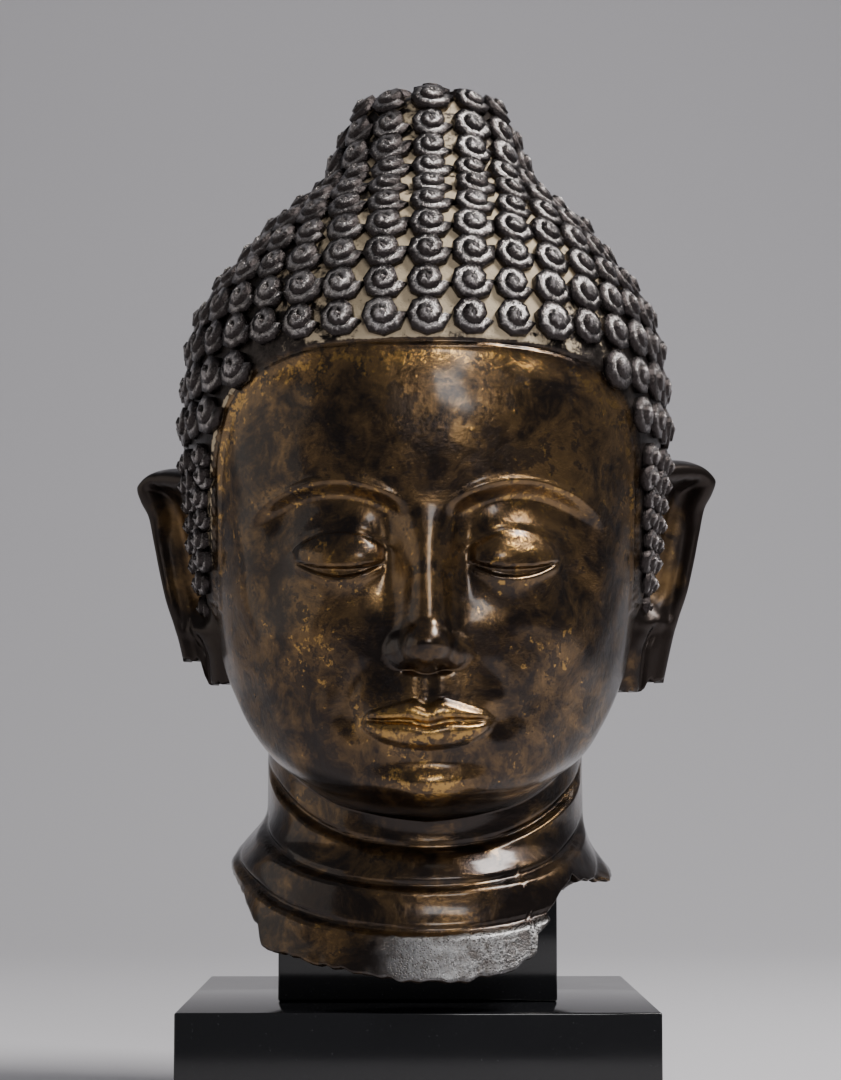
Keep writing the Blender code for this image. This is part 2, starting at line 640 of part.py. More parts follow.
def mesh_object(name, points, faces, parent, material):
    """A named object from points in metres, with its faces turned outwards."""
    mesh = bpy.data.meshes.new(name)
    mesh.from_pydata([tuple(p) for p in points], [], faces)
    shape = bmesh.new()
    shape.from_mesh(mesh)
    bmesh.ops.recalc_face_normals(shape, faces=shape.faces)
    shape.to_mesh(mesh)
    shape.free()
    mesh.shade_smooth()
    mesh.set_sharp_from_angle(angle=math.radians(50))
    if material:
        mesh.materials.append(material)
    made = bpy.data.objects.new(name, mesh)
    bpy.context.scene.collection.objects.link(made)
    made.parent = parent
    return made


def head_solid(parent, material):
    """The casting: outer surface, hollow and the broken edge between them, as one closed body."""
    chart = Chart(-10, CROWN, lambda z: np.linalg.norm(head_point(np.full_like(z, 1.57), z)[:, :1], axis=1))
    outer, outer_faces, rim_count = outer_shell(chart)
    inner, inner_faces = bore_shell(WALL / PART)
    faces = [list(f) for f in outer_faces]
    faces += [[i + len(outer) for i in reversed(f)] for f in inner_faces]
    for i in range(rim_count):
        j = (i + 1) % rim_count
        faces += [[i, j, j + len(outer)], [i, j + len(outer), i + len(outer)]]
    return mesh_object("head", np.vstack([outer, inner]) * PART, faces, parent, material)


def ear_height(side, across, up):
    """Height of a spot of the ear, between its broken lobes and its rounded top."""
    top = EAR_TOP - 1.6 + 2.4 * np.sin(np.pi * across) - 4.0 * np.clip((across - 0.75) / 0.25, 0, 1) ** 2.6
    inner, outer = EAR_INNER_LOBE[side], EAR_OUTER_LOBE[side]
    bottom = inner + (outer - inner) * ramp(across, 0.57, 0.63)
    return bottom + (top - bottom) * up


def ear_point(side, across, up, back):
    """A point of an ear's front or back sheet, in parts. Across runs from the root at 0 to the outer rim at 1."""
    z = ear_height(side, across, up)
    rim = EAR_REACH(z) + EAR_SPREAD[side]
    sweep = math.radians(EAR_SWEEP)
    root = body_radius(np.full_like(z, math.pi / 2), np.maximum(z, EAR_HANG)) - EAR_ROOT_BITE
    width = (rim - root) / math.cos(sweep)
    edge = np.minimum(width * (1 - across), (1 - up) * 85)
    upper = ramp(z, 132, 150)
    helix = 3.0 * hill((edge - 3.2) / 2.6, power=1.5) * (0.35 + 0.65 * upper)
    antihelix = 1.5 * hill((across - 0.56) / 0.13) * upper
    concha = -3.4 * hill((across - 0.30) / 0.17, (z - 160) / 26, 1.3)
    tragus = 2.4 * hill((across - 0.05) / 0.13, (z - 158) / 11)
    lobe_slit = -1.6 * hill((across - 0.53) / 0.06) * ramp(-z, -140, -128)
    thickness = 5.0 - 1.2 * upper
    swell = np.sqrt(np.clip(edge / 3.0, 0, 1) * (2 - np.clip(edge / 3.0, 0, 1)))
    front = helix + antihelix + concha + tragus + lobe_slit
    lift = np.where(back, -thickness + 0.6 * concha, front) * swell - thickness * 0.5 * (1 - swell)
    along = width * across
    x = root + along * math.cos(sweep) + lift * math.sin(sweep)
    y = EAR_BACK - width * math.sin(sweep) + along * math.sin(sweep) - lift * math.cos(sweep)
    mirrored = -1.0 if side == 0 else 1.0
    return np.stack([x * mirrored, y, z + EAR_RISE[side]], -1)


def ear_solid(side, parent, columns_count=8, rows_count=12):
    """One ear as a closed body: two sheets that meet at the rim, at the top and along the broken lobes."""
    across = np.concatenate([np.linspace(0, 0.82, columns_count - 2), [0.93, 1.0]])
    up = np.concatenate([np.linspace(0, 0.9, rows_count - 2), [0.965, 1.0]])
    grid_across, grid_up = np.meshgrid(across, up)
    shape = grid_across.shape
    sheets = [ear_point(side, grid_across, grid_up, np.full(shape, b)).reshape(-1, 3) for b in (False, True)]
    wide = shape[1]
    number = np.arange(shape[0] * wide).reshape(shape)
    offset = number.size
    faces = []
    for r in range(shape[0] - 1):
        for c in range(wide - 1):
            quad = [number[r, c], number[r, c + 1], number[r + 1, c + 1], number[r + 1, c]]
            faces.append([int(q) for q in quad])
            faces.append([int(q) + offset for q in reversed(quad)])
    ring = [*number[0, :], *number[1:, -1], *number[-1, -2::-1], *number[-2:0:-1, 0]]
    for a, b in zip(ring, [*ring[1:], ring[0]]):
        faces.append([int(a), int(b), int(b) + offset, int(a) + offset])
    made = mesh_object("ear_form_" + ("right", "left")[side], np.vstack(sheets) * PART, faces, parent, None)
    shape_mesh = bmesh.new()
    shape_mesh.from_mesh(made.data)
    bmesh.ops.remove_doubles(shape_mesh, verts=shape_mesh.verts, dist=0.02 * PART)
    bmesh.ops.triangulate(shape_mesh, faces=shape_mesh.faces)
    bmesh.ops.recalc_face_normals(shape_mesh, faces=shape_mesh.faces)
    shape_mesh.to_mesh(made.data)
    shape_mesh.free()
    made.hide_render = True
    made.display_type = "WIRE"
    return made


def union(body, other):
    """Joins another solid to a body."""
    joined = body.modifiers.new("join_" + other.name, "BOOLEAN")
    joined.operation = "UNION"
    joined.object = other


def block(name, width, depth, height, base, material):
    """A square block with narrow bevelled edges, standing at a height."""
    mesh = bpy.data.meshes.new(name)
    shape = bmesh.new()
    bmesh.ops.create_cube(shape, size=1.0)
    for vertex in shape.verts:
        vertex.co.x *= width
        vertex.co.y *= depth
        vertex.co.z = (vertex.co.z + 0.5) * height + base
    shape.to_mesh(mesh)
    shape.free()
    mesh.materials.append(material)
    made = bpy.data.objects.new(name, mesh)
    bpy.context.scene.collection.objects.link(made)
    bevel = made.modifiers.new("edges", "BEVEL")
    bevel.width = EDGE_BEVEL
    bevel.segments = 1
    return made


def metal(name, colour, roughness, metallic):
    """A plain material of one colour."""
    made = bpy.data.materials.new(name)
    made.use_nodes = True
    shader = made.node_tree.nodes["Principled BSDF"]
    shader.inputs["Base Color"].default_value = (*colour, 1)
    shader.inputs["Roughness"].default_value = roughness
    shader.inputs["Metallic"].default_value = metallic
    return made


def build():
    """The whole work, from the slab up."""
    for old in list(bpy.data.objects):
        bpy.data.objects.remove(old)
    bronze = metal("patinated bronze", (0.09, 0.06, 0.03), 0.4, 1.0)
    lacquer = metal("black lacquer", (0.012, 0.011, 0.012), 0.12, 0.0)
    block("slab", SLAB_SIDE, SLAB_SIDE, SLAB_HEIGHT, 0, lacquer)
    block("post", POST_WIDTH, POST_DEPTH, POST_HEIGHT - CLEARANCE, SLAB_HEIGHT + CLEARANCE, lacquer)
    axis = bpy.data.objects.new("head_axis", None)
    bpy.context.scene.collection.objects.link(axis)
    axis.location = (HEAD_SHIFT, 0, SLAB_HEIGHT + POST_HEIGHT + CLEARANCE - seat_height())
    head = head_solid(axis, bronze)
    for side in (0, 1):
        union(head, ear_solid(side, axis))


if __name__ == "__main__":
    build()
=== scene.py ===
"""A broken bronze head of a buddha in its patina, over a black post on a black slab, in a plain studio.

The head is a figure: its sizes are counted in parts, 364 to its height, from the lowest tip of the broken
neck up. Azimuths run from the front of the face towards the right of the picture.
"""

import math

import bmesh
import bpy
import numpy as np
from bpy.props import FloatProperty, FloatVectorProperty, IntProperty, PointerProperty
from bpy.types import Operator, Panel, PropertyGroup
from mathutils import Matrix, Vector


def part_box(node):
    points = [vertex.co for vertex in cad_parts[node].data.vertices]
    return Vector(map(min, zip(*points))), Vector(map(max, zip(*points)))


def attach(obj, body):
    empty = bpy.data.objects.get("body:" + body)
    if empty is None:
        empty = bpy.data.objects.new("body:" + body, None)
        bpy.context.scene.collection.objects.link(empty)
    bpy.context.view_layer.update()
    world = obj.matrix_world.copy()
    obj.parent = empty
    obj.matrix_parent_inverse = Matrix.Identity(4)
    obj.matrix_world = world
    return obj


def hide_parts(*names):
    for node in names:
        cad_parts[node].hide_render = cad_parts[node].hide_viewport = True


bl_info = {
    "name": "Bronze Buddha Head",
    "version": (1, 0, 0),
    "blender": (4, 5, 0),
    "location": "3D View > Sidebar > Buddha Head",
    "description": "Casts a hollow bronze head with snail-shell curls and stands it on a black post and slab",
    "category": "Object",
}

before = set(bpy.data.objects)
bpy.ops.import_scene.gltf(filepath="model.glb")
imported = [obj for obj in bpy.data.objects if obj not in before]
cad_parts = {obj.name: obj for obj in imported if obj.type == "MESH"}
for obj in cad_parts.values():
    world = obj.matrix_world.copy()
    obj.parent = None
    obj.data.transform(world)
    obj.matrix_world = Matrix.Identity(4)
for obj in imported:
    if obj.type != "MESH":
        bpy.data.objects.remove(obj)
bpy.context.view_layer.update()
HEAD_LOW, HEAD_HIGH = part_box("head")
POST_LOW, POST_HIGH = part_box("post")
SLAB_LOW, SLAB_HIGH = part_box("slab")

# The canon of the head, in parts
CROWN = 357.5
HAIRLINE = 238.5
THIRD = 61.7
BROW = HAIRLINE - THIRD
NOSE_BASE = BROW - THIRD
CHIN = NOSE_BASE - THIRD
EYE_WIDTH = 33.0
EYE_LINE = BROW - THIRD / 3
MOUTH_LINE = NOSE_BASE - THIRD / 3
MOUTH_WIDTH = 1.5 * EYE_WIDTH

# The hair
FACE_HALF = 84.0
HAIR_STEP = 2.2
CROWN_LEAN = 2.0
CURL_PITCH = 16.7
CURL_ROW_RISE = 15.2
CURL_ROW_DROP = 16.0
CURL_HEIGHT = 6.5
CURL_FIRST_ROW = 248.5
CURL_LAST_ROW = 352.0
NAPE_RISE = 0.32

# Sections of the head: height, half width, reach forward and reach back of the head's axis
HEAD_SECTIONS = (
    (60, 58, 88, 60),
    (80, 72, 91, 72),
    (100, 80, 93.5, 83),
    (130, 86, 94.5, 94),
    (160, 91, 96, 102),
    (185, 94.5, 97, 107),
    (210, 97, 96.5, 108),
    (238, 95.6, 93.4, 105.5),
    (258, 92, 87.5, 102),
    (272, 85.5, 81, 97),
    (282, 77.2, 75, 91.5),
    (291, 70, 68.5, 84.5),
    (300, 62.3, 59.5, 77),
    (309, 52.4, 49, 67.5),
    (318, 42.6, 38.5, 58.5),
    (331, 37.6, 28, 50.5),
    (346, 30.8, 18.5, 43),
    (357.5, 26, 12.5, 38.5),
)
CAP_START = 348.0
CAP_POWER = 3.0

# The lower edge of the jaw and the skull all round: azimuth, height, height of its rounding
JAW_EDGE = (
    (0, 53.5, 20),
    (28, 56, 22),
    (50, 63, 27),
    (70, 79, 34),
    (88, 98, 38),
    (110, 100, 40),
    (145, 94, 44),
    (180, 90, 46),
)

# The neck, flaring out to the broken chest: height, reach at the front, at the side and at the back
NECK_SECTIONS = (
    (-10, 97, 97, 92),
    (0, 93.5, 94, 89),
    (12, 87.5, 89, 84),
    (24, 80.5, 83, 79),
    (35, 76.5, 77, 77),
    (42, 72, 71.4, 73),
    (50, 66, 66.4, 68.5),
    (60, 63.5, 64, 66),
    (72, 63, 63.6, 66),
    (100, 63, 64, 66),
)
FLARE_LEFT_EXTRA = 7.0

# Rings of the neck: height at the front, rise from front to side
NECK_RINGS = ((47.0, 39.0), (33.2, 32.0), (16.8, 35.0))
RING_STEP = 2.6
RING_FADE = 26.0

# Inside of the neck, round
BORE_SECTIONS = (
    (-10, 92), (0, 87.5), (12, 82), (24, 76.5), (34.6, 72), (42, 66.5), (50, 60), (60, 57), (75, 57),
)

# How far the hollow keeps below a rounding above it
BORE_LAG = 14.0
EYE_HOLLOW = 9.0

# The broken edge of the neck: azimuth and height
BREAK_LINE = (
    (-180, 26), (-150, 24), (-128, 27), (-112, 35), (-97, 47.5), (-90, 45.5), (-82, 41.5), (-72, 36),
    (-62, 31), (-54, 24), (-48, 18), (-44, 10.5), (-39, 9.5), (-28, 6), (-15, 2.6), (-4, 0), (8, 0),
    (18, 2.6), (27, 9), (28.5, 16), (33, 21.5), (38, 29), (42, 33.4), (46.5, 37.5), (50, 35), (56, 35.6),
    (63, 34.4), (72, 36.5), (82, 38.5), (92, 41.5), (104, 40.5), (115, 38), (126, 31), (140, 23),
    (160, 25), (180, 26),
)

# The ears, from the broken lobes up
EAR_OUTLINE = (
    (105, 96.4), (124, 100.6), (135, 103.2), (148, 106.3), (160, 109), (172, 111.4), (182, 113.8),
    (188, 116.6), (193, 117.8), (200, 117.4),
)
EAR_TOP = 200.8
EAR_INNER_LOBE = (113.0, 106.5)
EAR_OUTER_LOBE = (123.0, 110.8)
EAR_RISE = (0.0, 3.5)
EAR_SPREAD = (0.0, 1.5)
EAR_SWEEP = 38.0
EAR_ROOT_BITE = 3.0
EAR_HANG = 124.0
EAR_BACK = 13.0

# Chips along the broken edge, and how far the wall's end sags between its sides
CHIP_DEPTH = 0.35
LIP_SAG = 0.7

# Spacing of the skin's rows from the broken edge up: height at the front and distance to the next row
ROW_SPACING = (
    (0, 1.15), (53, 1.15), (54, 0.6), (56, 0.34), (60, 0.4), (66, 0.8), (74, 1.2), (84, 0.85), (88, 0.7),
    (104, 0.75), (110, 1.1), (113, 0.6), (119, 0.6), (124, 1.2), (144, 1.2), (148, 0.65), (160, 0.65),
    (166, 1.0), (190, 0.95), (198, 1.9), (230, 1.9), (234, 1.0), (243, 1.0), (250, 2.2), (343, 2.2),
    (349, 1.4), (355, 0.7), (357.5, 0.12),
)

# The camera, found from the perspective of the slab, in pixels of the picture
FOCAL_PIXELS = 2570.0
PICTURE = (841, 1080)
CAMERA_PLACE = (-0.005, -1.049, 0.135)
CAMERA_TILT = math.radians(5.36)
VANISHING_COLUMN = 405.0
CAMERA_YAW = -math.atan((PICTURE[0] / 2 - VANISHING_COLUMN) / FOCAL_PIXELS)


def smooth_curve(knots, values):
    """A curve through the knots that doesn't overshoot between them."""
    knots, values = np.asarray(knots, float), np.asarray(values, float)
    step = np.diff(knots)
    rate = np.diff(values) / step
    slope = np.zeros_like(values)
    turn = rate[:-1] * rate[1:] > 0
    weight_a, weight_b = 2 * step[1:] + step[:-1], step[1:] + 2 * step[:-1]
    before, after = np.where(turn, rate[:-1], 1), np.where(turn, rate[1:], 1)
    mean = (weight_a + weight_b) / (weight_a / before + weight_b / after)
    slope[1:-1] = np.where(turn, mean, 0)
    slope[0], slope[-1] = rate[0], rate[-1]

    def at(x):
        x = np.clip(np.asarray(x, float), knots[0], knots[-1])
        i = np.clip(np.searchsorted(knots, x, side="right") - 1, 0, len(step) - 1)
        h = step[i]
        t = (x - knots[i]) / h
        return (
            (1 + 2 * t) * (1 - t) ** 2 * values[i]
            + t * (1 - t) ** 2 * h * slope[i]
            + t * t * (3 - 2 * t) * values[i + 1]
            + t * t * (t - 1) * h * slope[i + 1]
        )

    return at


def columns(table):
    """One smooth curve of the first column for each of the others."""
    rows = np.asarray(table, float)
    return [smooth_curve(rows[:, 0], rows[:, i]) for i in range(1, rows.shape[1])]


HEAD_SIDE, HEAD_FRONT, HEAD_BACK = columns(HEAD_SECTIONS)
JAW_HEIGHT, JAW_ROUND = columns(JAW_EDGE)
NECK_FRONT, NECK_SIDE, NECK_BACK = columns(NECK_SECTIONS)
(BORE,) = columns(BORE_SECTIONS)
(EAR_REACH,) = columns(EAR_OUTLINE)


def ramp(x, low, high):
    """0 below low, 1 above high, and a smooth rise between."""
    t = np.clip((x - low) / (high - low), 0, 1)
    return t * t * (3 - 2 * t)


def hill(u, v=0.0, power=1.0):
    """A rounded hill over the origin of u and v, whose sides steepen with power."""
    return np.exp(-((u * u + v * v) ** power))


def smooth_max(a, b, blend):
    """The larger of two, rounded over where they cross."""
    h = np.clip(0.5 + 0.5 * (a - b) / blend, 0, 1)
    return a * h + b * (1 - h) + blend * h * (1 - h)


def ripple(x, y, z, length):
    """Soft unevenness of about one part either way, with waves of about a length."""
    k = 2 * math.pi / length
    return (
        np.sin(k * (x + 0.6 * z) + 1.3) * np.sin(k * (0.8 * y - 0.5 * x) + 0.4)
        + np.sin(k * (1.3 * z - 0.4 * y) + 2.1) * np.sin(k * (0.7 * x + y) + 5.0)
    ) / 2


def axis_shift(z):
    """How far behind the head's axis the centre of a section lies."""
    return (HEAD_BACK(z) - HEAD_FRONT(z)) / 2 * ramp(z, 80, 130)


def oval(azimuth, side, front, back, power):
    """Radius of an oval section whose front and back halves reach differently."""
    s, c = np.abs(np.sin(azimuth)), np.cos(azimuth)
    reach = np.where(c > 0, front, back)
    return ((s / side) ** power + (np.abs(c) / reach) ** power) ** (-1 / power)


def lean(z):
    """How far the hair leans to the left side of the face."""
    return CROWN_LEAN * ramp(z, HAIRLINE + 20, HAIRLINE + 85)


def crown_cap(z):
    """Closes the sections over the flat crown."""
    t = np.clip((z - CAP_START) / (CROWN - CAP_START), 0, 1)
    return np.maximum(1 - t**CAP_POWER, 0) ** (1 / CAP_POWER)


def head_radius(azimuth, z):
    """The skull under the curls and the face without its features, down to the edge of the jaw."""
    shift = axis_shift(z)
    power = 2.0 + 0.16 * ramp(-np.abs(z - 170), -90, -40)
    radius = oval(azimuth, HEAD_SIDE(z), HEAD_FRONT(z) + shift, HEAD_BACK(z) - shift, power) * crown_cap(z)
    turn = np.degrees(np.abs(azimuth))
    rise = np.clip((z - JAW_HEIGHT(turn)) / JAW_ROUND(turn), 0, 1)
    return radius * np.maximum(1 - (1 - rise) ** 2.3, 0) ** (1 / 2.3)


def ring_height(azimuth, ring):
    """Height of a neck ring at an azimuth."""
    front, rise = NECK_RINGS[ring]
    return front + rise * (1 - np.cos(azimuth))


def neck_radius(azimuth, z):
    """The neck with its three rings, each fold standing out over the crease above it."""
    c, s = np.cos(azimuth), np.sin(azimuth)
    reach = np.where(c > 0, NECK_FRONT(z), NECK_BACK(z))
    radius = NECK_SIDE(z) * s * s + reach * c * c
    radius = radius + FLARE_LEFT_EXTRA * np.clip(-s, 0, 1) ** 3 * ramp(-z, -63, -45) * ramp(z, 32, 43)
    shown = ramp(c, 0.1, 0.5)
    for ring in range(len(NECK_RINGS)):
        below = ring_height(azimuth, ring) - z
        fold = ramp(below, -0.4, 1.8) * np.exp(-np.clip(below, 0, None) / RING_FADE * 2)
        crease = hill((below + 0.8) / 1.2)
        radius = radius + shown * (RING_STEP * fold - 1.5 * crease)
    return radius


def body_radius(azimuth, z):
    """Head and neck together, without the features."""
    return smooth_max(head_radius(azimuth, z), neck_radius(azimuth, z) * ramp(-z, -150, -118), 3.5)


def hair_depth(x, y, z):
    """Distance in from the hairline: above 0 is hair, below 0 is skin."""
    over = np.clip(z - 168.6, 0, None)
    across = ((np.abs(x) / FACE_HALF) ** 4 + (over / 70.0) ** 4) ** 0.25 - 1
    slant = np.hypot(x, y) / np.maximum(-y, 0.4 * np.hypot(x, y) + 1e-6)
    from_face = np.where(y < 25, across * 75.0 * slant, 60.0)
    turn = np.degrees(np.arctan2(np.abs(x), -y))
    nape = JAW_HEIGHT(turn) + NAPE_RISE * JAW_ROUND(turn)
    lower_edge = 143 + (nape - 143) * ramp(turn, 92, 118)
    return np.minimum(from_face, z - lower_edge)


def ball(u, v):
    """A half ball over the origin of u and v, one high."""
    return np.sqrt(np.clip(1 - u * u - v * v, 0, 1))


def nose(x, z):
    """The ridge from between the brows, the round tip, and the two wings with their nostrils."""
    side = np.abs(x)
    above = z - NOSE_BASE
    t = (BROW - z) / THIRD
    high = (2.0 + 17.5 * np.clip(t, 0, 1) ** 1.15) * ramp(t, -0.12, 0.1) * ramp(above, -2, 9)
    ridge = high * hill(x / (6.9 + 4.0 * ramp(t, 0.3, 1.0)), power=1.3)
    tip = 18.8 * ball(x / 10.6, (above - 8.2) / 10.0) ** 0.8
    wings = (13.4 - 0.45 * side) * ball((side - 8.4) / 7.8, (above - 6.6) / 7.4) ** 0.75
    column = 9.0 * hill(x / 3.0, power=1.5) * ramp(above, -2.5, 2.5) * ramp(-above, -8, -4)
    nostrils = 2.6 * hill((side - 6.2) / 2.6, (above + 0.2) / 1.6)
    shape = smooth_max(smooth_max(ridge, tip, 5.0), smooth_max(wings, column, 2.0), 5.0)
    return shape - 1.0 - nostrils


def brow_line(x):
    """Height of the brow's arc."""
    return BROW + 8.0 - 10.5 * ((np.abs(x) - 36.0) / 30.0) ** 2


def eyes(x, z):
    """Sockets under sharp brows, full lids lowered over almond eyes."""
    side = np.abs(x)
    under = brow_line(x) - z
    across = ramp(side, 5.0, 17) * ramp(-side, -70, -52)
    socket = -6.4 * across * ramp(under, -0.6, 5.5) * ramp(z, EYE_LINE - 26, EYE_LINE - 3)
    corner = -3.6 * hill((side - 15.0) / 7.5, (z - EYE_LINE - 5) / 13)
    ridge = 1.1 * across * hill((under + 0.9) / 1.7)
    e = (side - EYE_WIDTH) / (EYE_WIDTH / 2)
    ball = 7.4 * hill((side - EYE_WIDTH) / 20.5, (z - EYE_LINE - 0.5) / 15.0, 1.35)
    inside = ramp(-np.abs(e), -1.06, -0.9)
    upper = EYE_LINE - 3.4 + 2.6 * e * e + 0.5 * e
    lower = EYE_LINE - 7.0 + 5.6 * e * e + 0.5 * e
    lid = 1.7 * inside * ramp(z - upper, -0.5, 0.5) * ramp(upper + 11.5 - z, 0, 9)
    slit = -1.5 * inside * ramp(upper - z, -0.4, 0.4) * ramp(z - lower, -0.6, 0.6)
    lower_lid = 0.9 * inside * hill((z - lower + 1.2) / 1.5)
    fold = -0.9 * ramp(-np.abs(e), -1.35, -1.0) * hill((z - (EYE_LINE + 11.0 - 5.5 * e * e)) / 1.3)
    return socket + corner + ridge + ball + lid + slit + lower_lid + fold


def lip_round(share, low, high, peak, spread):
    """How full a lip is at a share of its height."""
    return np.sqrt(np.clip(1 - (np.clip(share, low, high) - peak) ** 2 / spread, 0, 1))


def mouth(x, z):
    """Closed lips with a bowed upper edge and corners that turn up a little."""
    m = np.abs(x) / (MOUTH_WIDTH / 2)
    open_width = np.clip(1 - m * m, 0, 1)
    part = MOUTH_LINE + 1.8 * m**3 - 1.0 * hill(x / 4.5) + 0.6 * hill((np.abs(x) - 9) / 5)
    upper_edge = part + 7.6 * open_width**0.75 + 0.9 * hill((np.abs(x) - 5.2) / 3.4) - 1.0 * hill(x / 2.6)
    lower_edge = MOUTH_LINE + 1.4 * m**3 - 8.8 * open_width**0.45
    above = (z - part) / np.maximum(upper_edge - part, 0.8)
    beneath = (part - z) / np.maximum(part - lower_edge, 0.8)
    fade = ramp(-m, -1.05, -0.86)
    upper = 3.6 * fade * lip_round(above, -0.15, 1.15, 0.42, 0.42) * (above > 0)
    lower = 4.6 * fade * lip_round(beneath, -0.1, 1.2, 0.45, 0.4) * (above <= 0)
    line = -1.7 * fade * hill((z - part) / 1.15)
    muzzle = 3.6 * hill(x / 31, (z - MOUTH_LINE - 2) / 21)
    corner = -2.4 * hill((np.abs(x) - MOUTH_WIDTH / 2 - 2.6) / 5.6, (z - MOUTH_LINE - 1.2) / 5.6)
    furrow = ramp(z, upper_edge, upper_edge + 3) * ramp(-z, -NOSE_BASE - 1, -NOSE_BASE + 3)
    philtrum = furrow * (0.5 * hill((np.abs(x) - 5.0) / 2.6) - 1.0 * hill(x / 3.6))
    under_lip = -3.0 * hill(x / 17, (z - MOUTH_LINE + 14.5) / 5.0)
    return upper + lower + line + muzzle + corner + philtrum + under_lip


def face_relief(x, z):
    """How far the features stand forward of the plain head."""
    side = np.abs(x)
    chin = 5.2 * hill(x / 19, (z - CHIN - 15) / 13)
    cheeks = 2.6 * hill((side - 45) / 24, (z - NOSE_BASE - 20) / 26)
    forehead = 1.4 * hill(x / 55, (z - BROW - 32) / 26)
    smile = -0.9 * hill((side - 23 - 0.45 * (NOSE_BASE + 4 - z)) / 3.6) * ramp(-np.abs(z - 106), -14, -5)
    return nose(x, z) + eyes(x, z) + mouth(x, z) + chin + cheeks + forehead + smile


def head_point(azimuth, z):
    """A point of the bronze's outer surface, in parts."""
    azimuth, z = np.asarray(azimuth, float), np.asarray(z, float)
    radius = body_radius(azimuth, z)
    x, y = radius * np.sin(azimuth), axis_shift(z) - radius * np.cos(azimuth)
    skin = ramp(-hair_depth(x, y, z), -1.6, 0.4) * ramp(z, 80, 110) * (z > 60)
    rim = 0.9 * hill((hair_depth(x, y, z) + 1.6) / 1.3) * ramp(z, 110, 140)
    radius = radius + rim - HAIR_STEP * skin
    x, y = radius * np.sin(azimuth), axis_shift(z) - radius * np.cos(azimuth)
    front = ramp(np.cos(azimuth), 0.15, 0.5) * ramp(z, CHIN - 4, CHIN + 8) * ramp(-hair_depth(x, y, z), -1, 3)
    return np.stack([x + lean(z), y - front * face_relief(x, z), z], -1)


def bore_point(azimuth, z, wall):
    """A point of the hollow's surface: round in the neck, and a wall's thickness inside the head above it."""
    near = (-BORE_LAG, -BORE_LAG / 2, 0, wall)
    head = np.min([body_radius(azimuth, np.clip(z + d, -10, CROWN)) for d in near], axis=0) - wall
    behind_eyes = EYE_HOLLOW * ramp(np.cos(azimuth), 0.7, 0.88) * hill((z - EYE_LINE - 2) / 30)
    head = (head - behind_eyes) * np.clip((CROWN - wall - z) / 4, 0, 1) ** 0.5
    share = ramp(z, 52, 84)
    radius = BORE(z) * (1 - share) + np.maximum(head, 0) * share
    return np.stack([radius * np.sin(azimuth) + lean(z), axis_shift(z) - radius * np.cos(azimuth), z], -1)


def outward(azimuth, z):
    """Outward direction of the outer surface."""
    step = 0.4
    turn = step / np.maximum(body_radius(azimuth, z), 4)
    low, high = np.clip(z - step, None, CROWN - 0.02), np.clip(z + step, None, CROWN - 0.01)
    along = head_point(azimuth + turn, z) - head_point(azimuth - turn, z)
    up = head_point(azimuth, high) - head_point(azimuth, low)
    normal = np.cross(along, up)
    size = np.linalg.norm(normal, axis=-1, keepdims=True)
    normal = np.where(size > 1e-6, normal / np.maximum(size, 1e-6), (0, 0, 1))
    return np.where((z > CROWN - 0.6)[..., None], (0, 0, 1), normal)


def break_height(azimuth):
    """Height of the broken edge, with small chips along it."""
    turns, heights = zip(*BREAK_LINE)
    turn = (np.degrees(azimuth) + 180) % 360 - 180
    chips = 0.5 * np.sin(turn * 0.83) * np.sin(turn * 0.31 + 1)
    return np.interp(turn, turns, heights) + chips


def curl_rows():
    """Heights of the rows of curls, evenly spaced up the front to the crown's rim, over it and down."""
    heights = CROWN - (CROWN - 98) * (1 - np.cos(np.linspace(0, math.pi / 2, 3000)))[::-1]
    reach = head_radius(np.zeros_like(heights), heights) - axis_shift(heights)
    run = np.concatenate([[0], np.cumsum(np.hypot(np.diff(heights), np.diff(reach)))])
    first, last = np.interp((CURL_FIRST_ROW, CURL_LAST_ROW), heights, run)
    up = np.linspace(first, last, max(2, round((last - first) / CURL_ROW_RISE) + 1))
    over = np.arange(last + CURL_ROW_RISE, run[-1] - 0.45 * CURL_ROW_RISE, CURL_ROW_RISE)
    down = np.arange(first - CURL_ROW_DROP, 0, -CURL_ROW_DROP)
    return np.interp(np.concatenate([up, over, down]), run, heights)


def curls():
    """Azimuth and height of every curl, the one on top of the crown first."""
    rows = [(azimuth, z) for z in curl_rows() for azimuth in row_of_curls(z, CURL_PITCH)]
    return np.array([(0.0, CROWN - 1e-4), *rows])


def row_of_curls(z, pitch):
    """Azimuths of the curls at a height, set evenly: all round, or from temple to temple round the back."""
    turn = np.linspace(0, 2 * math.pi, 721)
    ring = head_point(turn, np.full_like(turn, z))
    depth = hair_depth(ring[:, 0], ring[:, 1], ring[:, 2])
    hair = turn[(depth > 0.45 * pitch) & (turn <= math.pi)]
    if not len(hair):
        return []
    run = np.concatenate([[0], np.cumsum(np.linalg.norm(np.diff(ring, axis=0), axis=1))])
    whole = hair[0] == 0
    start, end = (0, run[-1]) if whole else np.interp([hair[0], 2 * math.pi - hair[0]], turn, run)
    count = max(1, round((end - start) / pitch))
    places = np.arange(count) if whole else np.arange(count + 1)
    return np.interp(start + places / count * (end - start), run, turn)


def head_place():
    """Size of one part in metres, and where the head's own origin lies in the frame."""
    turn = np.linspace(-math.pi, math.pi, 721)
    tip = break_height(turn).min()
    part = (HEAD_HIGH.z - HEAD_LOW.z) / (CROWN + CURL_HEIGHT - tip)
    ears = (EAR_SPREAD[1] - EAR_SPREAD[0]) / 2 * part
    return part, Vector(((HEAD_LOW.x + HEAD_HIGH.x) / 2 - ears, 0, HEAD_LOW.z - tip * part))


PART, HEAD_ORIGIN = head_place()


def in_frame(points):
    """Points counted in parts from the head's origin, as metres in the frame."""
    return np.asarray(points).reshape(-1, 3) * PART + np.array(HEAD_ORIGIN)


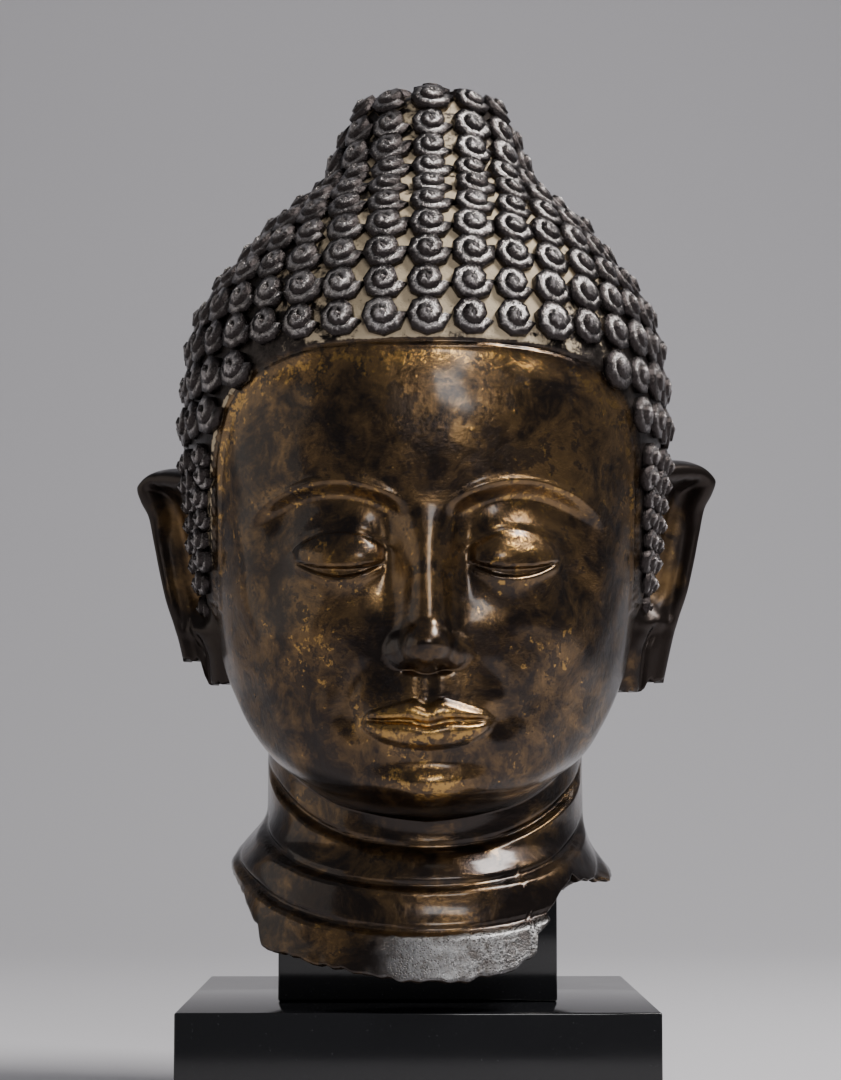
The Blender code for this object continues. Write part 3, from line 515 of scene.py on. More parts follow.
def named(sockets, key):
    """The socket at this place, with this identifier or, failing that, with this name."""
    if isinstance(key, int):
        return sockets[key]
    for socket in sockets:
        if socket.identifier == key:
            return socket
    return sockets[key]


class Wire:
    """An output socket of a material's tree. Arithmetic on it adds Math nodes."""

    def __init__(self, finish, socket):
        self.finish = finish
        self.socket = socket

    def math(self, operation, *others, clamp=False):
        settings = {"operation": operation, "use_clamp": clamp}
        return self.finish.node("ShaderNodeMath", settings, {0: self, **dict(enumerate(others, 1))})

    def flipped(self, operation, other):
        return self.finish.node("ShaderNodeMath", {"operation": operation}, {0: other, 1: self})

    def __add__(self, other):
        return self.math("ADD", other)

    def __sub__(self, other):
        return self.math("SUBTRACT", other)

    def __mul__(self, other):
        return self.math("MULTIPLY", other)

    def __truediv__(self, other):
        return self.math("DIVIDE", other)

    def __pow__(self, other):
        return self.math("POWER", other)

    def __rsub__(self, other):
        return self.flipped("SUBTRACT", other)

    __radd__ = __add__
    __rmul__ = __mul__

    def held(self):
        """Kept between 0 and 1."""
        return self.math("ADD", 0.0, clamp=True)

    def band(self, low, high):
        """0 below low, 1 above high, and a smooth rise between."""
        values = {"Value": self, "From Min": low, "From Max": high}
        return self.finish.node("ShaderNodeMapRange", {"interpolation_type": "SMOOTHSTEP"}, values)


class Finish:
    """A material, whose nodes are added one call at a time."""

    def __init__(self, name):
        self.material = bpy.data.materials.new(name)
        self.material.use_nodes = True
        self.tree = self.material.node_tree
        self.shader = self.tree.nodes["Principled BSDF"]

    def node(self, kind, settings, values, output=0):
        """Adds a node: its settings first, then its sockets' values or links."""
        made = self.tree.nodes.new(kind)
        for name, value in settings.items():
            setattr(made, name, value)
        for key, value in values.items():
            self.feed(named(made.inputs, key), value)
        return Wire(self, named(made.outputs, output))

    def feed(self, socket, value):
        """Sets a socket's value, or links a wire to it."""
        if isinstance(value, Wire):
            self.tree.links.new(value.socket, socket)
        elif hasattr(value, "__len__") and socket.type == "RGBA" and len(value) == 3:
            socket.default_value = (*value, 1)
        else:
            socket.default_value = value

    def place(self, stretch=(1, 1, 1)):
        """Object coordinates, stretched along the axes."""
        spot = self.node("ShaderNodeTexCoord", {}, {}, "Object")
        return self.node("ShaderNodeMapping", {}, {"Vector": spot, "Scale": stretch})

    def attribute(self, name):
        """A number that the mesh carries at its points."""
        return self.node("ShaderNodeAttribute", {"attribute_name": name}, {}, "Fac")

    def noise(self, size, detail=3.0, roughness=0.55, stretch=(1, 1, 1), distortion=0.0):
        """Cloudy noise with patches of a size in metres."""
        values = {
            "Vector": self.place(stretch),
            "Scale": 1.0 / size,
            "Detail": detail,
            "Roughness": roughness,
            "Distortion": distortion,
        }
        return self.node("ShaderNodeTexNoise", {}, values)

    def cells(self, size):
        """Distance to the nearest of scattered points, a size in metres apart."""
        values = {"Vector": self.place(), "Scale": 1.0 / size}
        return self.node("ShaderNodeTexVoronoi", {}, values, "Distance")

    def mix(self, share, first, second):
        """Between two colours."""
        values = {"Factor_Float": share, "A_Color": first, "B_Color": second}
        return self.node("ShaderNodeMix", {"data_type": "RGBA"}, values, "Result_Color")

    def bump(self, height, depth, under=None):
        """A normal bent by a height, whose full range is a depth in metres."""
        values = {"Height": height, "Distance": depth, "Strength": 1.0}
        if under:
            values["Normal"] = under
        return self.node("ShaderNodeBump", {}, values)

    def set(self, **sockets):
        """Feeds the shader's own sockets, given by name with underscores."""
        for name, value in sockets.items():
            self.feed(self.shader.inputs[name.replace("_", " ")], value)
        return self.material


COLOUR = {"subtype": "COLOR", "size": 3, "min": 0, "max": 1}


class BuddhaFormSettings(PropertyGroup):
    """Sizes of the casting that a maker would change."""

    columns: IntProperty(
        name="Columns", description="Faces round the skin of the head", default=264, min=96, max=288
    )
    wall: FloatProperty(
        name="Wall", description="Thickness of the casting", unit="LENGTH",
        default=0.0065, min=0.003, max=0.012,
    )
    unevenness: FloatProperty(
        name="Unevenness", description="Height of the soft waves in the cast skin", unit="LENGTH",
        default=0.00035, min=0, max=0.001,
    )
    curl_width: FloatProperty(
        name="Curl width", description="Width of a curl as a share of the distance between curls",
        default=1.3, min=0.6, max=1.5,
    )
    curl_height: FloatProperty(
        name="Curl height", description="How far a curl stands out", unit="LENGTH",
        default=CURL_HEIGHT * PART, min=0.003, max=0.009,
    )
    curl_turn: FloatProperty(
        name="Curl turn", description="How far curls are turned from each other", subtype="ANGLE",
        default=math.radians(40), min=0, max=math.pi,
    )
    curl_variation: FloatProperty(
        name="Curl variation", description="How much smaller than the rest a curl may be",
        default=0.12, min=0, max=0.4,
    )
    curl_seed: IntProperty(name="Curl seed", description="Order in which the curls differ", default=7, min=0)
    edge: FloatProperty(
        name="Stand edge", description="Rounding along the edges of post and slab", unit="LENGTH",
        default=0.0008, min=0, max=0.003,
    )


class BuddhaFinishSettings(PropertyGroup):
    """Colours of the patina, the gilding, the deposits and the stand."""

    dark: FloatVectorProperty(
        name="Dark patina", description="Its near-black parts", default=(0.018, 0.011, 0.008), **COLOUR
    )
    brown: FloatVectorProperty(
        name="Brown patina", description="Its brown parts", default=(0.17, 0.098, 0.038), **COLOUR
    )
    gilt: FloatVectorProperty(
        name="Gilding", description="What is left of the gold", default=(0.50, 0.29, 0.085), **COLOUR
    )
    # Also the colour of the painted highlight along the tops of the curls' turns and on their knobs.
    hair: FloatVectorProperty(
        name="Hair", description="The worn, dark grey curls", default=(0.42, 0.39, 0.38), **COLOUR
    )
    deposit: FloatVectorProperty(
        name="Deposit", description="Pale earth left between the curls", default=(0.50, 0.40, 0.265), **COLOUR
    )
    silver: FloatVectorProperty(
        name="Pitted band", description="The bare band low on the neck", default=(0.15, 0.148, 0.15), **COLOUR
    )
    black: FloatVectorProperty(
        name="Stand", description="Polished black of the stand", default=(0.006, 0.006, 0.007), **COLOUR
    )


class BuddhaStudioSettings(PropertyGroup):
    """The light and the backdrop."""

    key: FloatProperty(
        name="Key light", description="Power of the light high on the right", default=42.0, min=0
    )
    fill: FloatProperty(
        name="Fill light", description="Power of the weak light from the left", default=5.0, min=0
    )
    front: FloatProperty(
        name="Front light", description="Power of the light over the camera", default=8.0, min=0
    )
    surround: FloatProperty(name="Surround", description="Brightness all round", default=0.22, min=0)
    backdrop: FloatVectorProperty(
        name="Backdrop", description="Colour of the floor and wall", default=(0.62, 0.61, 0.64), **COLOUR
    )


def mesh_piece(name, points, faces, numbers=None):
    """An object from points in the frame, with named numbers at its points."""
    mesh = bpy.data.meshes.new(name)
    mesh.from_pydata(np.asarray(points).tolist(), [], faces)
    for label, values in (numbers or {}).items():
        carried = mesh.attributes.new(label, "FLOAT", "POINT")
        carried.data.foreach_set("value", np.asarray(values, np.float32).ravel())
    mesh.shade_smooth()
    made = bpy.data.objects.new(name, mesh)
    bpy.context.scene.collection.objects.link(made)
    return made


def face_outwards(mesh, merge=0.0):
    """Turns the faces of a closed mesh outwards, after merging points closer than a distance."""
    shape = bmesh.new()
    shape.from_mesh(mesh)
    if merge:
        bmesh.ops.remove_doubles(shape, verts=shape.verts, dist=merge)
    bmesh.ops.recalc_face_normals(shape, faces=shape.faces)
    shape.to_mesh(mesh)
    shape.free()


def grid_faces(rows, wide):
    """Faces between rows of points that run all round, so that rows counted upwards face outwards."""
    row, column = np.meshgrid(np.arange(rows - 1), np.arange(wide), indexing="ij")
    after = (column + 1) % wide
    quads = [row * wide + column, row * wide + after, (row + 1) * wide + after, (row + 1) * wide + column]
    return np.stack(quads, -1).reshape(-1, 4).tolist()


def skin_azimuths(count):
    """Azimuths of the skin's columns, closest over the face."""
    turn = np.linspace(-math.pi, math.pi, 2001)
    density = 1 + 2.6 * ramp(np.cos(turn), 0.2, 0.55)
    run = np.concatenate([[0], np.cumsum((density[1:] + density[:-1]) / 2)])
    return np.interp(np.arange(count) / count * run[-1], run, turn)


def skin_rows():
    """Heights of the skin's rows at the front, spaced as the features need."""
    heights, spacing = zip(*ROW_SPACING)
    z, rows = 0.0, []
    while z < CROWN - 0.02:
        rows.append(z)
        z += float(np.interp(z, heights, spacing))
    return np.array(rows)


def row_heights(azimuth, rows):
    """Where the rows lie at each azimuth: along the break, then along the jaw, and level from there up."""
    turn = np.degrees(np.abs(azimuth))
    jaw, rounding, edge = JAW_HEIGHT(turn), JAW_ROUND(turn), break_height(azimuth)
    marks = (0, CHIN, CHIN + 20, HAIRLINE, CROWN)
    lifted = [np.interp(rows, marks, (e, j, j + r, HAIRLINE, CROWN)) for e, j, r in zip(edge, jaw, rounding)]
    return np.array(lifted).T


def surface_numbers(azimuth, z, points):
    """What the patina follows: how much gilding, pitting, hair and bare casting there is at each point; the
    gilding number also carries a painted shade on the neck under the jaw.
    """
    x, y = points[..., 0], points[..., 1]
    depth = hair_depth(x, y, z)
    face = ramp(np.cos(azimuth), 0.3, 0.6) * ramp(-depth, 0, 4) * ramp(z, CHIN - 6, CHIN + 4)
    under_brow = hill((brow_line(x) - z - 3) / 5) * ramp(np.abs(x), 8, 16) * ramp(-np.abs(x), -66, -50)
    lids = hill((np.abs(x) - EYE_WIDTH) / 22, (z - EYE_LINE - 4) / 12)
    lips = hill(x / 26, (z - MOUTH_LINE) / 9, 1.5)
    chin = hill(x / 17, (z - CHIN - 17) / 10)
    temple = hill((depth + 7) / 6)
    cheek = 0.25 * hill((np.abs(x) - 42) / 16, (z - NOSE_BASE - 8) / 22)
    worn = 0.35 * under_brow + 0.2 * lids + 0.6 * lips + 0.7 * chin + 0.4 * temple + cheek
    gilt = face * np.clip(worn, 0, 1)
    for ring in range(len(NECK_RINGS)):
        below = ring_height(azimuth, ring) - z
        gilt = gilt + 0.25 * hill((below - 2.0) / 3.4) * ramp(np.cos(azimuth), 0.1, 0.5)
    last = ring_height(azimuth, 2) - z
    turn = np.degrees(azimuth)
    band = ramp(last, 0.2, 1.2) * ramp(np.cos(azimuth), 0.2, 0.5)
    pitted = band * (0.3 * ramp(turn, -34, -20) + 0.7 * ramp(turn, -28, 10)) * ramp(-turn, -46, -36)
    gilt = gilt + 0.2 * band * ramp(-turn, 4, 26)
    # Painted shade: the neck below the jaw is made darker, less warm brown and with fewer gold flecks, by
    # lowering the gilt number there.
    gilt = gilt - 0.3 * ramp(-z, -80, -52)
    hair = ramp(depth, -0.6, 1.6)
    earth = hair * (0.38 + 0.62 * hill((turn - 8) / 58, (z - 290) / 85, 1.5))
    earth = earth + 0.7 * hill((depth - 0.8) / 1.6) * ramp(-turn, 38, 50) * ramp(z, 150, 170)
    return {"gilt": gilt, "pitted": pitted, "hair": hair, "earth": earth}


def cast_skin(settings):
    """The casting as one closed skin: up the outside from the broken edge, and down the hollow back to it."""
    azimuth = skin_azimuths(settings.columns)
    rows = skin_rows()
    z = row_heights(azimuth, rows)
    turn = np.broadcast_to(azimuth, z.shape)
    outside = head_point(turn, z)
    wave = settings.unevenness / PART * ripple(outside[..., 0], outside[..., 1], z, 37.0)
    jagged = np.sin(47 * turn + 1) * np.sin(23 * turn) + 0.6 * np.sin(91 * turn + 2)
    chips = CHIP_DEPTH * jagged * ramp(-rows, -4, 0)[:, None]
    outside = outside + outward(turn, z) * wave[..., None]
    outside[..., 2] += chips

    wall = settings.wall / PART
    share = np.linspace(0, 1, 36) ** 0.9
    top = CROWN - wall - 0.05
    inner_z = break_height(azimuth)[None, :] * (1 - share[:, None]) + top * share[:, None]
    inner_turn = np.broadcast_to(azimuth, inner_z.shape)
    inside = bore_point(inner_turn, inner_z, wall)
    inside[..., 2] += chips[0] * (1 - share[:, None]) ** 8
    across = np.array((0.8, 0.5, 0.2))[:, None, None]
    lip = outside[0] * (1 - across) + inside[0] * across
    lip[..., 2] -= LIP_SAG * np.sin(math.pi * across[..., 0])
    lip[..., 2] += CHIP_DEPTH * np.sin(61 * azimuth + np.array((0, 1.5, 3))[:, None])

    points = np.concatenate([inside[::-1], lip, outside])
    numbers = surface_numbers(turn, z, outside)
    bare = len(inside) + len(lip)
    wide = len(azimuth)
    for name, values in numbers.items():
        numbers[name] = np.concatenate([np.zeros((bare, wide)), values]).ravel()
    numbers["inner"] = np.concatenate([np.ones((bare, wide)), np.zeros(z.shape)]).ravel()
    count = points.shape[0] * wide
    faces = grid_faces(points.shape[0], wide)
    faces += [[(i + 1) % wide, i, count] for i in range(wide)]
    faces += [[count - wide + i, count - wide + (i + 1) % wide, count + 1] for i in range(wide)]
    poles = [bore_point(0.0, np.array(CROWN - wall), wall), head_point(0.0, np.array(CROWN))]
    points = np.vstack([points.reshape(-1, 3), poles])
    for name in numbers:
        numbers[name] = np.append(numbers[name], (float(name == "inner"), float(name == "hair")))
    return mesh_piece("cast_head", in_frame(points), faces, numbers)


def snail_shell():
    """One curl of the hair: a tube that winds in and up to a knob, about one wide and one high, carrying its
    height and a painted highlight along the tops of its turns.
    """
    turns, steps, sides = 1.7, 14, 6
    points, faces, levels, crest_highlights = [], [], [], []
    for i in range(steps + 1):
        t = i / steps
        angle = -2 * math.pi * turns * t
        reach = 0.325 * (1 - t) ** 0.9
        thick = 0.165 + 0.01 * t
        height = 0.2 + 0.56 * t**0.8
        for k in range(sides):
            around = 2 * math.pi * (k + 0.5) / sides
            across = reach + thick * math.cos(around)
            z = height + thick * 1.75 * math.sin(around)
            if math.sin(around) < -0.1:
                z = -0.12 + 0.5 * max(0, height - 0.45)
            points.append((across * math.cos(angle), across * math.sin(angle), max(z, -0.12)))
            levels.append(min(max(z, 0), 1))
            # Painted highlight: 1 along the top of each turn of the tube and on the central knob, where the
            # curl's colour is made lighter.
            crest_highlights.append(max(max(0, math.sin(around)) ** 2.5, 5 * t - 4.3))
    for i in range(steps):
        for k in range(sides):
            a, b = i * sides + k, i * sides + (k + 1) % sides
            faces.append((a, b, b + sides, a + sides))
    faces.append(tuple(range(sides))[::-1])
    faces.append(tuple(steps * sides + k for k in range(sides)))
    shell = mesh_piece("snail_shell", points, faces, {"level": levels, "crest_highlight": crest_highlights})
    face_outwards(shell.data)
    return shell


def curl_tree(material):
    """Geometry nodes that set a shell on every point, facing out, each a little turned and sized."""
    tree = bpy.data.node_groups.new("Snail curls", "GeometryNodeTree")
    made = tree.interface
    made.new_socket("Geometry", in_out="INPUT", socket_type="NodeSocketGeometry")
    made.new_socket("Shell", in_out="INPUT", socket_type="NodeSocketObject")
    for name in ("Width", "Height", "Turn", "Variation"):
        made.new_socket(name, in_out="INPUT", socket_type="NodeSocketFloat")
    made.new_socket("Seed", in_out="INPUT", socket_type="NodeSocketInt")
    made.new_socket("Geometry", in_out="OUTPUT", socket_type="NodeSocketGeometry")

    def add(kind, links, output=0, **settings):
        node = tree.nodes.new(kind)
        for name, value in settings.items():
            setattr(node, name, value)
        for key, value in links.items():
            socket = named(node.inputs, key)
            if isinstance(value, bpy.types.NodeSocket):
                tree.links.new(value, socket)
            else:
                socket.default_value = value
        return named(node.outputs, output) if node.outputs else node

    def times(first, second):
        return add("ShaderNodeMath", {0: first, 1: second}, operation="MULTIPLY")

    def chance(low, high):
        values = {"Min_001": low, "Max_001": high, "Seed": given["Seed"]}
        return add("FunctionNodeRandomValue", values, "Value_001", data_type="FLOAT")

    given = tree.nodes.new("NodeGroupInput").outputs
    facing = add("GeometryNodeInputNamedAttribute", {"Name": "facing"}, data_type="FLOAT_VECTOR")
    spacing = add("GeometryNodeInputNamedAttribute", {"Name": "spacing"}, data_type="FLOAT")
    upright = add("FunctionNodeAlignRotationToVector", {"Vector": facing}, axis="Z")
    values = {"Rotation": upright, "Vector": (0, 0, 1)}
    level = add("FunctionNodeAlignRotationToVector", values, axis="Y", pivot_axis="Z")
    spin = chance(times(given["Turn"], -0.5), times(given["Turn"], 0.5))
    about = add("FunctionNodeAxisAngleToRotation", {"Axis": (0, 0, 1), "Angle": spin})
    values = {"Rotation": level, "Rotate By": about}
    turned = add("FunctionNodeRotateRotation", values, rotation_space="LOCAL")
    size = chance(add("ShaderNodeMath", {0: 1.0, 1: given["Variation"]}, operation="SUBTRACT"), 1.0)
    wide = times(times(spacing, given["Width"]), size)
    scale = add("ShaderNodeCombineXYZ", {"X": wide, "Y": wide, "Z": times(given["Height"], size)})
    shell = add("GeometryNodeObjectInfo", {"Object": given["Shell"]}, "Geometry", transform_space="ORIGINAL")
    values = {"Points": given["Geometry"], "Instance": shell, "Rotation": turned, "Scale": scale}
    real = add("GeometryNodeRealizeInstances", {"Geometry": add("GeometryNodeInstanceOnPoints", values)})
    painted = add("GeometryNodeSetMaterial", {"Geometry": real, "Material": material})
    add("NodeGroupOutput", {"Geometry": painted})
    return tree


def lay_curls(settings, material):
    """The hair: a shell on each of the curls' places, made one plain mesh."""
    azimuth, z = curls().T
    turn = np.degrees(np.abs((azimuth + math.pi) % (2 * math.pi) - math.pi))
    strip = ramp(-turn, -104, -92) * ramp(-z, 20 - HAIRLINE, 45 - HAIRLINE)
    between = z - CURL_ROW_DROP / 2
    foot = head_point(azimuth, np.minimum(between, CROWN - 1e-4))
    closer = (strip > 0.5) & (hair_depth(foot[:, 0], foot[:, 1], between) > 3)
    azimuth = np.append(azimuth, azimuth[closer])
    z = np.append(z, between[closer])
    strip = np.append(strip, strip[closer])
    points = head_point(azimuth, np.minimum(z, CROWN - 1e-4))
    facing = outward(azimuth, z)
    points = points - facing * 0.5
    spacing = CURL_PITCH * PART * (1 - 0.36 * strip)
    seeds = mesh_piece("curl_places", in_frame(points), [], {"spacing": spacing})
    carried = seeds.data.attributes.new("facing", "FLOAT_VECTOR", "POINT")
    carried.data.foreach_set("vector", facing.astype(np.float32).ravel())
    shell = snail_shell()
    tree = curl_tree(material)
    wind = seeds.modifiers.new("curls", "NODES")
    wind.node_group = tree
    values = {
        "Shell": shell,
        "Width": settings.curl_width,
        "Height": settings.curl_height,
        "Turn": settings.curl_turn,
        "Variation": settings.curl_variation,
        "Seed": settings.curl_seed,
    }
    for item in tree.interface.items_tree:
        if item.in_out == "INPUT" and item.name in values:
            wind[item.identifier] = values[item.name]
    bpy.context.view_layer.update()
    depsgraph = bpy.context.evaluated_depsgraph_get()
    mesh = bpy.data.meshes.new_from_object(seeds.evaluated_get(depsgraph), depsgraph=depsgraph)
    bpy.data.objects.remove(seeds)
    bpy.data.objects.remove(shell)
    hair = bpy.data.objects.new("curls", mesh)
    bpy.context.scene.collection.objects.link(hair)
    return hair


def ear_height(side, across, up):
    """Height of a spot of the ear, between its broken lobes and its rounded top."""
    top = EAR_TOP - 1.6 + 2.4 * np.sin(np.pi * across) - 7.0 * np.clip((across - 0.66) / 0.34, 0, 1) ** 2.4
    inner, outer = EAR_INNER_LOBE[side], EAR_OUTER_LOBE[side]
    bottom = inner + (outer - inner) * ramp(across, 0.57, 0.63)
    bottom = bottom + 0.5 * np.sin(31 * across) + 0.4 * np.sin(57 * across + side)
    return bottom + (top - bottom) * up


def ear_relief(z, across, edge):
    """The front of the ear: rolled rim, channel, ridge, shell and the slit between the lobe's strands."""
    upper = ramp(z, 128, 150)
    roll = 3.0 + 2.0 * ramp(z, 170, 190)
    high = (4.4 + 1.8 * ramp(z, 180, 196)) * (0.35 + 0.65 * upper)
    helix = high * hill((edge - roll) / (roll * 0.95), power=1.6)
    channel = -3.4 * hill((across - 0.52 - 0.002 * (z - 168)) / 0.17, power=1.4) * ramp(z, 134, 150)
    channel = channel * ramp(edge, 1.2 * roll, 2.2 * roll)
    ridge = 1.5 * hill((across - 0.24) / 0.09) * ramp(z, 150, 162) * ramp(-z, -192, -180)
    shell = -2.6 * hill((across - 0.3) / 0.16, (z - 152) / 12, 1.4)
    basin = -2.6 * hill((across - 0.42) / 0.16, (z - 145) / 7)
    sill = 1.5 * hill((z - 134.5) / 2.4) * hill((across - 0.5) / 0.3)
    tragus = 2.6 * hill((across - 0.06) / 0.12, (z - 157) / 9)
    slit = -2.6 * hill((across - 0.53) / 0.055) * ramp(-z, -136, -127)
    strands = 0.9 * (hill((across - 0.28) / 0.16) + hill((across - 0.78) / 0.14)) * ramp(-z, -136, -128)
    return helix + channel + ridge + shell + basin + sill + tragus + slit + strands


def ear_point(side, across, up, back):
    """A point of an ear's front or back sheet. Across runs from the root at 0 to the outer rim at 1."""
    z = ear_height(side, across, up)
    rim = EAR_REACH(z) + EAR_SPREAD[side]
    sweep = math.radians(EAR_SWEEP)
    root = body_radius(np.full_like(z, math.pi / 2), np.maximum(z, EAR_HANG)) - EAR_ROOT_BITE
    width = (rim - root) / math.cos(sweep)
    edge = np.minimum(width * (1 - across), (1 - up) * 85)
    thickness = 5.0 - 1.2 * ramp(z, 132, 150)
    swell = np.sqrt(np.clip(edge / 3.0, 0, 1) * (2 - np.clip(edge / 3.0, 0, 1)))
    front = ear_relief(z, across, edge)
    hollow = np.minimum(front, 0)
    lift = np.where(back, -thickness + 0.75 * hollow, front) * swell - thickness * 0.5 * (1 - swell)
    along = width * across
    x = root + along * math.cos(sweep) + lift * math.sin(sweep)
    y = EAR_BACK - width * math.sin(sweep) + along * math.sin(sweep) - lift * math.cos(sweep)
    mirrored = -1.0 if side == 0 else 1.0
    return np.stack([x * mirrored, y, z + EAR_RISE[side]], -1)


def cast_ear(side):
    """One ear as a closed body: two sheets that meet at the rim, at the top and along the broken lobes."""
    across = np.concatenate([np.linspace(0, 0.86, 30), 1 - 0.14 * np.linspace(1, 0, 10)[1:] ** 1.6])
    up = np.concatenate([np.linspace(0, 0.93, 70), 1 - 0.07 * np.linspace(1, 0, 9)[1:] ** 1.6])
    grid_across, grid_up = np.meshgrid(across, up)
    shape = grid_across.shape
    sheets = [ear_point(side, grid_across, grid_up, np.full(shape, b)).reshape(-1, 3) for b in (False, True)]
    number = np.arange(shape[0] * shape[1]).reshape(shape)
    offset = number.size
    quads = np.stack([number[:-1, :-1], number[:-1, 1:], number[1:, 1:], number[1:, :-1]], -1).reshape(-1, 4)
    ring = np.array([*number[0, :], *number[1:, -1], *number[-1, -2::-1], *number[-2:0:-1, 0]])
    after = np.roll(ring, -1)
    strip = np.stack([ring, after, after + offset, ring + offset], -1)
    faces = np.vstack([quads, quads[:, ::-1] + offset, strip]).tolist()
    z = ear_height(side, grid_across, grid_up).ravel()
    channel = ramp(grid_across, 0.1, 0.25) * ramp(-grid_across, -0.95, -0.6)
    strand = ramp(-z, -134, -118) * hill((grid_across.ravel() - 0.25) / 0.2)
    gilt = 0.75 * channel.ravel() * ramp(z, 134, 146) * ramp(-z, -194, -180) + 0.5 * strand
    numbers = {"gilt": np.concatenate([gilt, 0 * gilt])}
    ear = mesh_piece("ear_" + ("right", "left")[side], in_frame(np.vstack(sheets)), faces, numbers)
    face_outwards(ear.data, merge=0.00002)
    return ear


def rounded_block(name, low, high, edge):
    """A block of the stand with its edges rounded."""
    shape = bmesh.new()
    bmesh.ops.create_cube(shape, size=1.0)
    for vertex in shape.verts:
        vertex.co = [a + (0.5 + c) * (b - a) for a, b, c in zip(low, high, vertex.co)]
    bmesh.ops.bevel(shape, geom=shape.edges[:], offset=edge, segments=3, profile=0.5, affect="EDGES")
    mesh = bpy.data.meshes.new(name)
    shape.to_mesh(mesh)
    shape.free()
    mesh.shade_smooth()
    mesh.set_sharp_from_angle(angle=math.radians(35))
    made = bpy.data.objects.new(name, mesh)
    bpy.context.scene.collection.objects.link(made)
    return made


# Colours that stay as they are: scabs, painted shade on the ground between the curls, pits, the hollow, worn
# curls and ears
SCAB = (0.016, 0.011, 0.010)
# Painted shade: two dark tones for the ground between the curls, darker than its own grey-brown so that the
# valleys read as deep crevices.
NEST_SHADE_DARK = (0.018, 0.014, 0.012)
NEST_SHADE_PALE = (0.055, 0.045, 0.04)
PIT = (0.06, 0.05, 0.045)
HOLLOW = (0.03, 0.02, 0.014)
CURL_DARK = (0.04, 0.033, 0.032)
EAR_OLIVE = (0.13, 0.105, 0.05)
DUST = (0.12, 0.12, 0.13)


def patina(colours):
    """Dark brown patina with traces of gilding, painted shade and pale earth between the curls, painted shade
    on the neck under the jaw, and a bare, pitted band.
    """
    f = Finish("patinated bronze")
    carried = ("gilt", "pitted", "hair", "inner", "earth")
    gilt, pitted, hair, inner, soil = (f.attribute(name) for name in carried)
    clouds = f.noise(0.05, detail=4, roughness=0.6)
    blotches = f.noise(0.016, detail=8, roughness=0.7, distortion=0.7)
    spots = f.noise(0.0055, detail=6, roughness=0.7, distortion=0.4)
    flecks = f.noise(0.0026, detail=5, roughness=0.7)
    scabs = f.noise(0.011, detail=9, roughness=0.66)
    pits = f.cells(0.0009)

    # The gilt number also carries the painted shade on the neck under the jaw, so warm brown and gold flecks
    # fade there.
    warm = (0.5 * clouds + 0.7 * blotches + 0.25 * spots + 0.25 * gilt - 0.72).band(-0.10, 0.16)
    colour = f.mix(warm, colours.dark, colours.brown)
    islands = (0.9 * scabs + 0.5 * blotches - 0.75).band(0.0, 0.025)
    colour = f.mix(islands * 0.75, colour, SCAB)
    gold = (1.1 * flecks + 0.9 * spots + 0.40 * gilt + 0.2 * warm - 1.33).band(0.0, 0.11)
    colour = f.mix(gold * 0.7, colour, colours.gilt)
    bare = (pitted * 1.25 + 0.5 * blotches - 0.8).band(0.0, 0.35)
    silver = f.mix(pits.band(0.1, 0.5) * spots.band(0.3, 0.6), PIT, colours.silver)
    colour = f.mix(bare, colour, silver)
    # Painted shade on the ground between the curls: its own dark grey-brown pushed darker, mottled between
    # two dark tones by the spots.
    nest_and_shade = f.mix(spots.band(0.35, 0.65), NEST_SHADE_DARK, NEST_SHADE_PALE)
    colour = f.mix(hair, colour, nest_and_shade)
    earth = (soil * 0.85 + 0.7 * clouds + 0.9 * spots - 1.42).band(0.0, 0.14)
    colour = f.mix(earth, colour, colours.deposit)
    colour = f.mix(inner * 0.85, colour, HOLLOW)

    rough = 0.11 + 0.14 * blotches + 0.07 * islands - 0.03 * gold
    rough = rough + 0.16 * hair + 0.4 * earth + 0.10 * bare + 0.25 * inner
    metal = (0.85 + 0.15 * gold) * (1 - 0.95 * earth) * (1 - 0.5 * inner)
    fine = f.bump(0.4 * blotches + 0.35 * spots + 0.2 * flecks * (1 + 2.0 * bare), 0.0007)
    dents = (1 - pits.band(0.05, 0.45)) * (bare * 0.9 + 0.15 * islands + 0.5 * earth)
    normal = f.bump(dents, -0.0003, fine)
    return f.set(
        Base_Color=colour,
        Roughness=rough.held(),
        Metallic=metal.held(),
        Normal=normal,
        Coat_Weight=(0.4 * (1 - hair) * (1 - inner)).held(),
        Coat_Roughness=0.13,
    )


def curl_patina(colours):
    """Worn grey curls with a painted highlight along the tops of their turns and on their knobs, and pale
    earth round their feet.
    """
    f = Finish("curl bronze")
    level, crest_highlight = f.attribute("level"), f.attribute("crest_highlight")
    blotches = f.noise(0.013, detail=5, roughness=0.6)
    grain = f.noise(0.0019, detail=5, roughness=0.7)
    lumps = f.noise(0.0045, detail=3)
    clouds = f.noise(0.06, detail=4, roughness=0.6)
    earth = (1.0 * clouds + 0.5 * blotches + 0.6 * grain - 2.0 * level - 0.80).band(0.0, 0.3)
    # Pale grey where the blotches and grain run high, and as a painted highlight along the tops of the turns
    # and on the knob; dark grey elsewhere.
    light = (0.5 * blotches + 0.7 * grain + 0.5 * crest_highlight - 0.78).band(0.0, 0.35)
    colour = f.mix(light, CURL_DARK, colours.hair)
    colour = f.mix(earth, colour, colours.deposit)
    normal = f.bump(0.7 * lumps + 0.5 * grain, 0.0013)
    rough = 0.15 + 0.2 * grain + 0.4 * earth
    return f.set(
        Base_Color=colour, Roughness=rough.held(), Metallic=(0.9 - 0.85 * earth).held(), Normal=normal
    )


